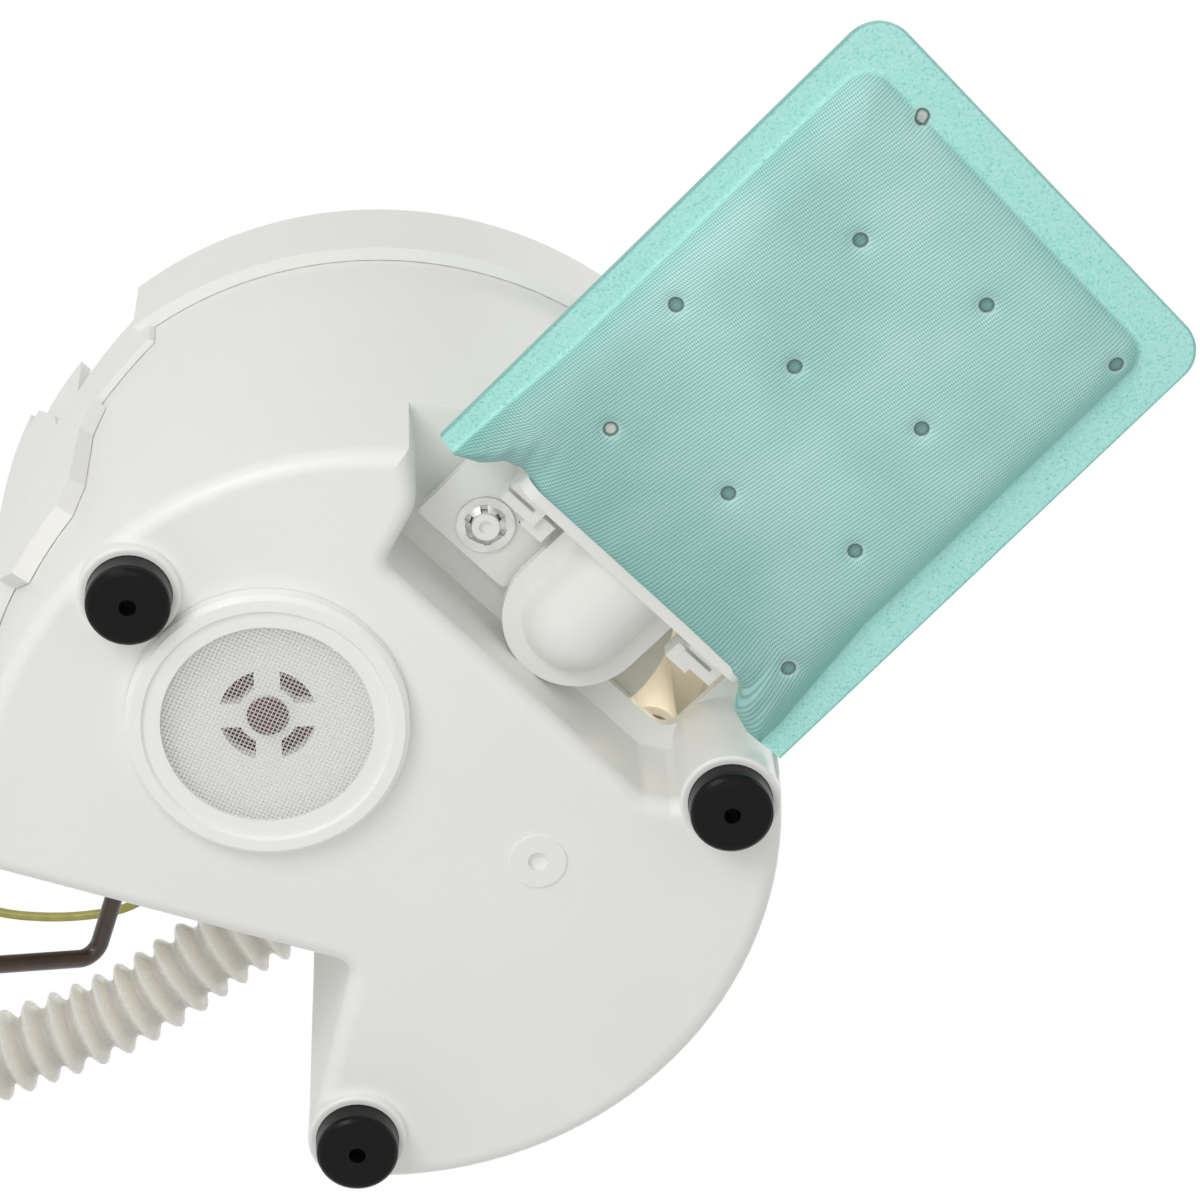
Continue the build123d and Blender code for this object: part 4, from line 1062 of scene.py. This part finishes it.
def surroundings(name, sky):
    """Even light from all round, which the camera and all reflections see as plain white."""
    world = bpy.data.worlds.new(name)
    world.use_nodes = True
    world.node_tree.nodes.clear()
    rays = add_node(world, "ShaderNodeLightPath")
    seen = add_node(
        world,
        "ShaderNodeMath",
        {0: (rays, "Is Camera Ray"), 1: (rays, "Is Glossy Ray")},
        operation="MAXIMUM",
    )
    seen = add_node(
        world, "ShaderNodeMath", {0: (seen, "Value"), 1: (rays, "Is Transmission Ray")}, operation="MAXIMUM"
    )
    light = add_node(world, "ShaderNodeBackground", {"Color": linear("#FFFFFF"), "Strength": sky})
    white = add_node(world, "ShaderNodeBackground", {"Color": linear("#FFFFFF")})
    mixed = add_node(
        world,
        "ShaderNodeMixShader",
        {0: (seen, "Value"), 1: (light, "Background"), 2: (white, "Background")},
    )
    add_node(world, "ShaderNodeOutputWorld", {"Surface": (mixed, "Shader")})
    return world


class FUELPUMP_OT_stage(bpy.types.Operator):
    """Adds the camera, the floor, the lamps and the even white surroundings"""

    bl_idname = "fuelpump.stage"
    bl_label = "Stage"

    def execute(self, context):
        settings = context.scene.fuel_stage
        start_clean()
        camera = bpy.data.cameras.new("camera")
        camera.lens = CAMERA_LENS
        camera.sensor_width = CAMERA_SENSOR
        camera.clip_start = 0.05
        holder = self.place(context, camera, CAMERA_PLACE)
        holder.rotation_euler = [math.radians(a) for a in CAMERA_TURN]
        context.scene.camera = holder
        bpy.ops.mesh.primitive_plane_add(size=4.0, location=at(0, 0, -0.05))
        floor = context.object
        floor.name = "studio_floor"
        settle(floor)
        dress(floor, one_sided_floor("painted_floor"))
        for name, place, side in LAMPS:
            light = bpy.data.lights.new(name, "AREA")
            light.shape = "SQUARE"
            light.size = side
            light.energy = getattr(settings, name)
            holder = self.place(context, light, at(*place))
            towards = at(*LAMP_TARGET) - at(*place)
            holder.rotation_euler = towards.to_track_quat("-Z", "Y").to_euler()
        glow = bpy.data.lights.new("inside_glow", "POINT")
        glow.energy = settings.inner
        glow.color = linear("#FFF1D6")[:3]
        glow.shadow_soft_size = INNER_RADIUS
        self.place(context, glow, at(*INNER_PLACE))
        context.scene.world = surroundings("surroundings", settings.sky)
        context.scene.view_settings.view_transform = "Standard"
        return {"FINISHED"}

    def place(self, context, data, where):
        holder = bpy.data.objects.new(data.name, data)
        holder.location = where
        context.scene.collection.objects.link(holder)
        return holder


# ------------------------------------------------------------------ panel and registration


class FUELPUMP_PT_panel(bpy.types.Panel):
    """Lists the module's pieces and their sizes"""

    bl_idname = "FUELPUMP_PT_panel"
    bl_label = "Fuel pump module"
    bl_space_type = "VIEW_3D"
    bl_region_type = "UI"
    bl_category = "Fuel pump"

    def draw(self, context):
        for operator in OPERATORS:
            self.layout.operator(operator.bl_idname)
        for name in GROUPS:
            box = self.layout.box()
            group = getattr(context.scene, name)
            for prop in group.bl_rna.properties.keys():
                if prop not in ("rna_type", "name"):
                    box.prop(group, prop)


GROUPS = {
    "fuel_hose": HoseSettings,
    "fuel_wire": WireSettings,
    "fuel_spring": SpringSettings,
    "fuel_bag": BagSettings,
    "fuel_stage": StageSettings,
}
OPERATORS = (
    FUELPUMP_OT_stage,
    FUELPUMP_OT_hose,
    FUELPUMP_OT_sender_wire,
    FUELPUMP_OT_springs,
    FUELPUMP_OT_strainer_bag,
    FUELPUMP_OT_finishes,
)


def register():
    for name, group in GROUPS.items():
        bpy.utils.register_class(group)
        setattr(bpy.types.Scene, name, bpy.props.PointerProperty(type=group))
    for cls in (*OPERATORS, FUELPUMP_PT_panel):
        bpy.utils.register_class(cls)


def unregister():
    for cls in reversed((*OPERATORS, FUELPUMP_PT_panel)):
        bpy.utils.unregister_class(cls)
    for name, group in GROUPS.items():
        delattr(bpy.types.Scene, name)
        bpy.utils.unregister_class(group)


def main():
    register()
    bpy.ops.fuelpump.stage()
    bpy.ops.fuelpump.hose()
    bpy.ops.fuelpump.sender_wire()
    bpy.ops.fuelpump.springs()
    bpy.ops.fuelpump.strainer_bag()
    bpy.ops.fuelpump.finishes()


if __name__ == "__main__":
    main()
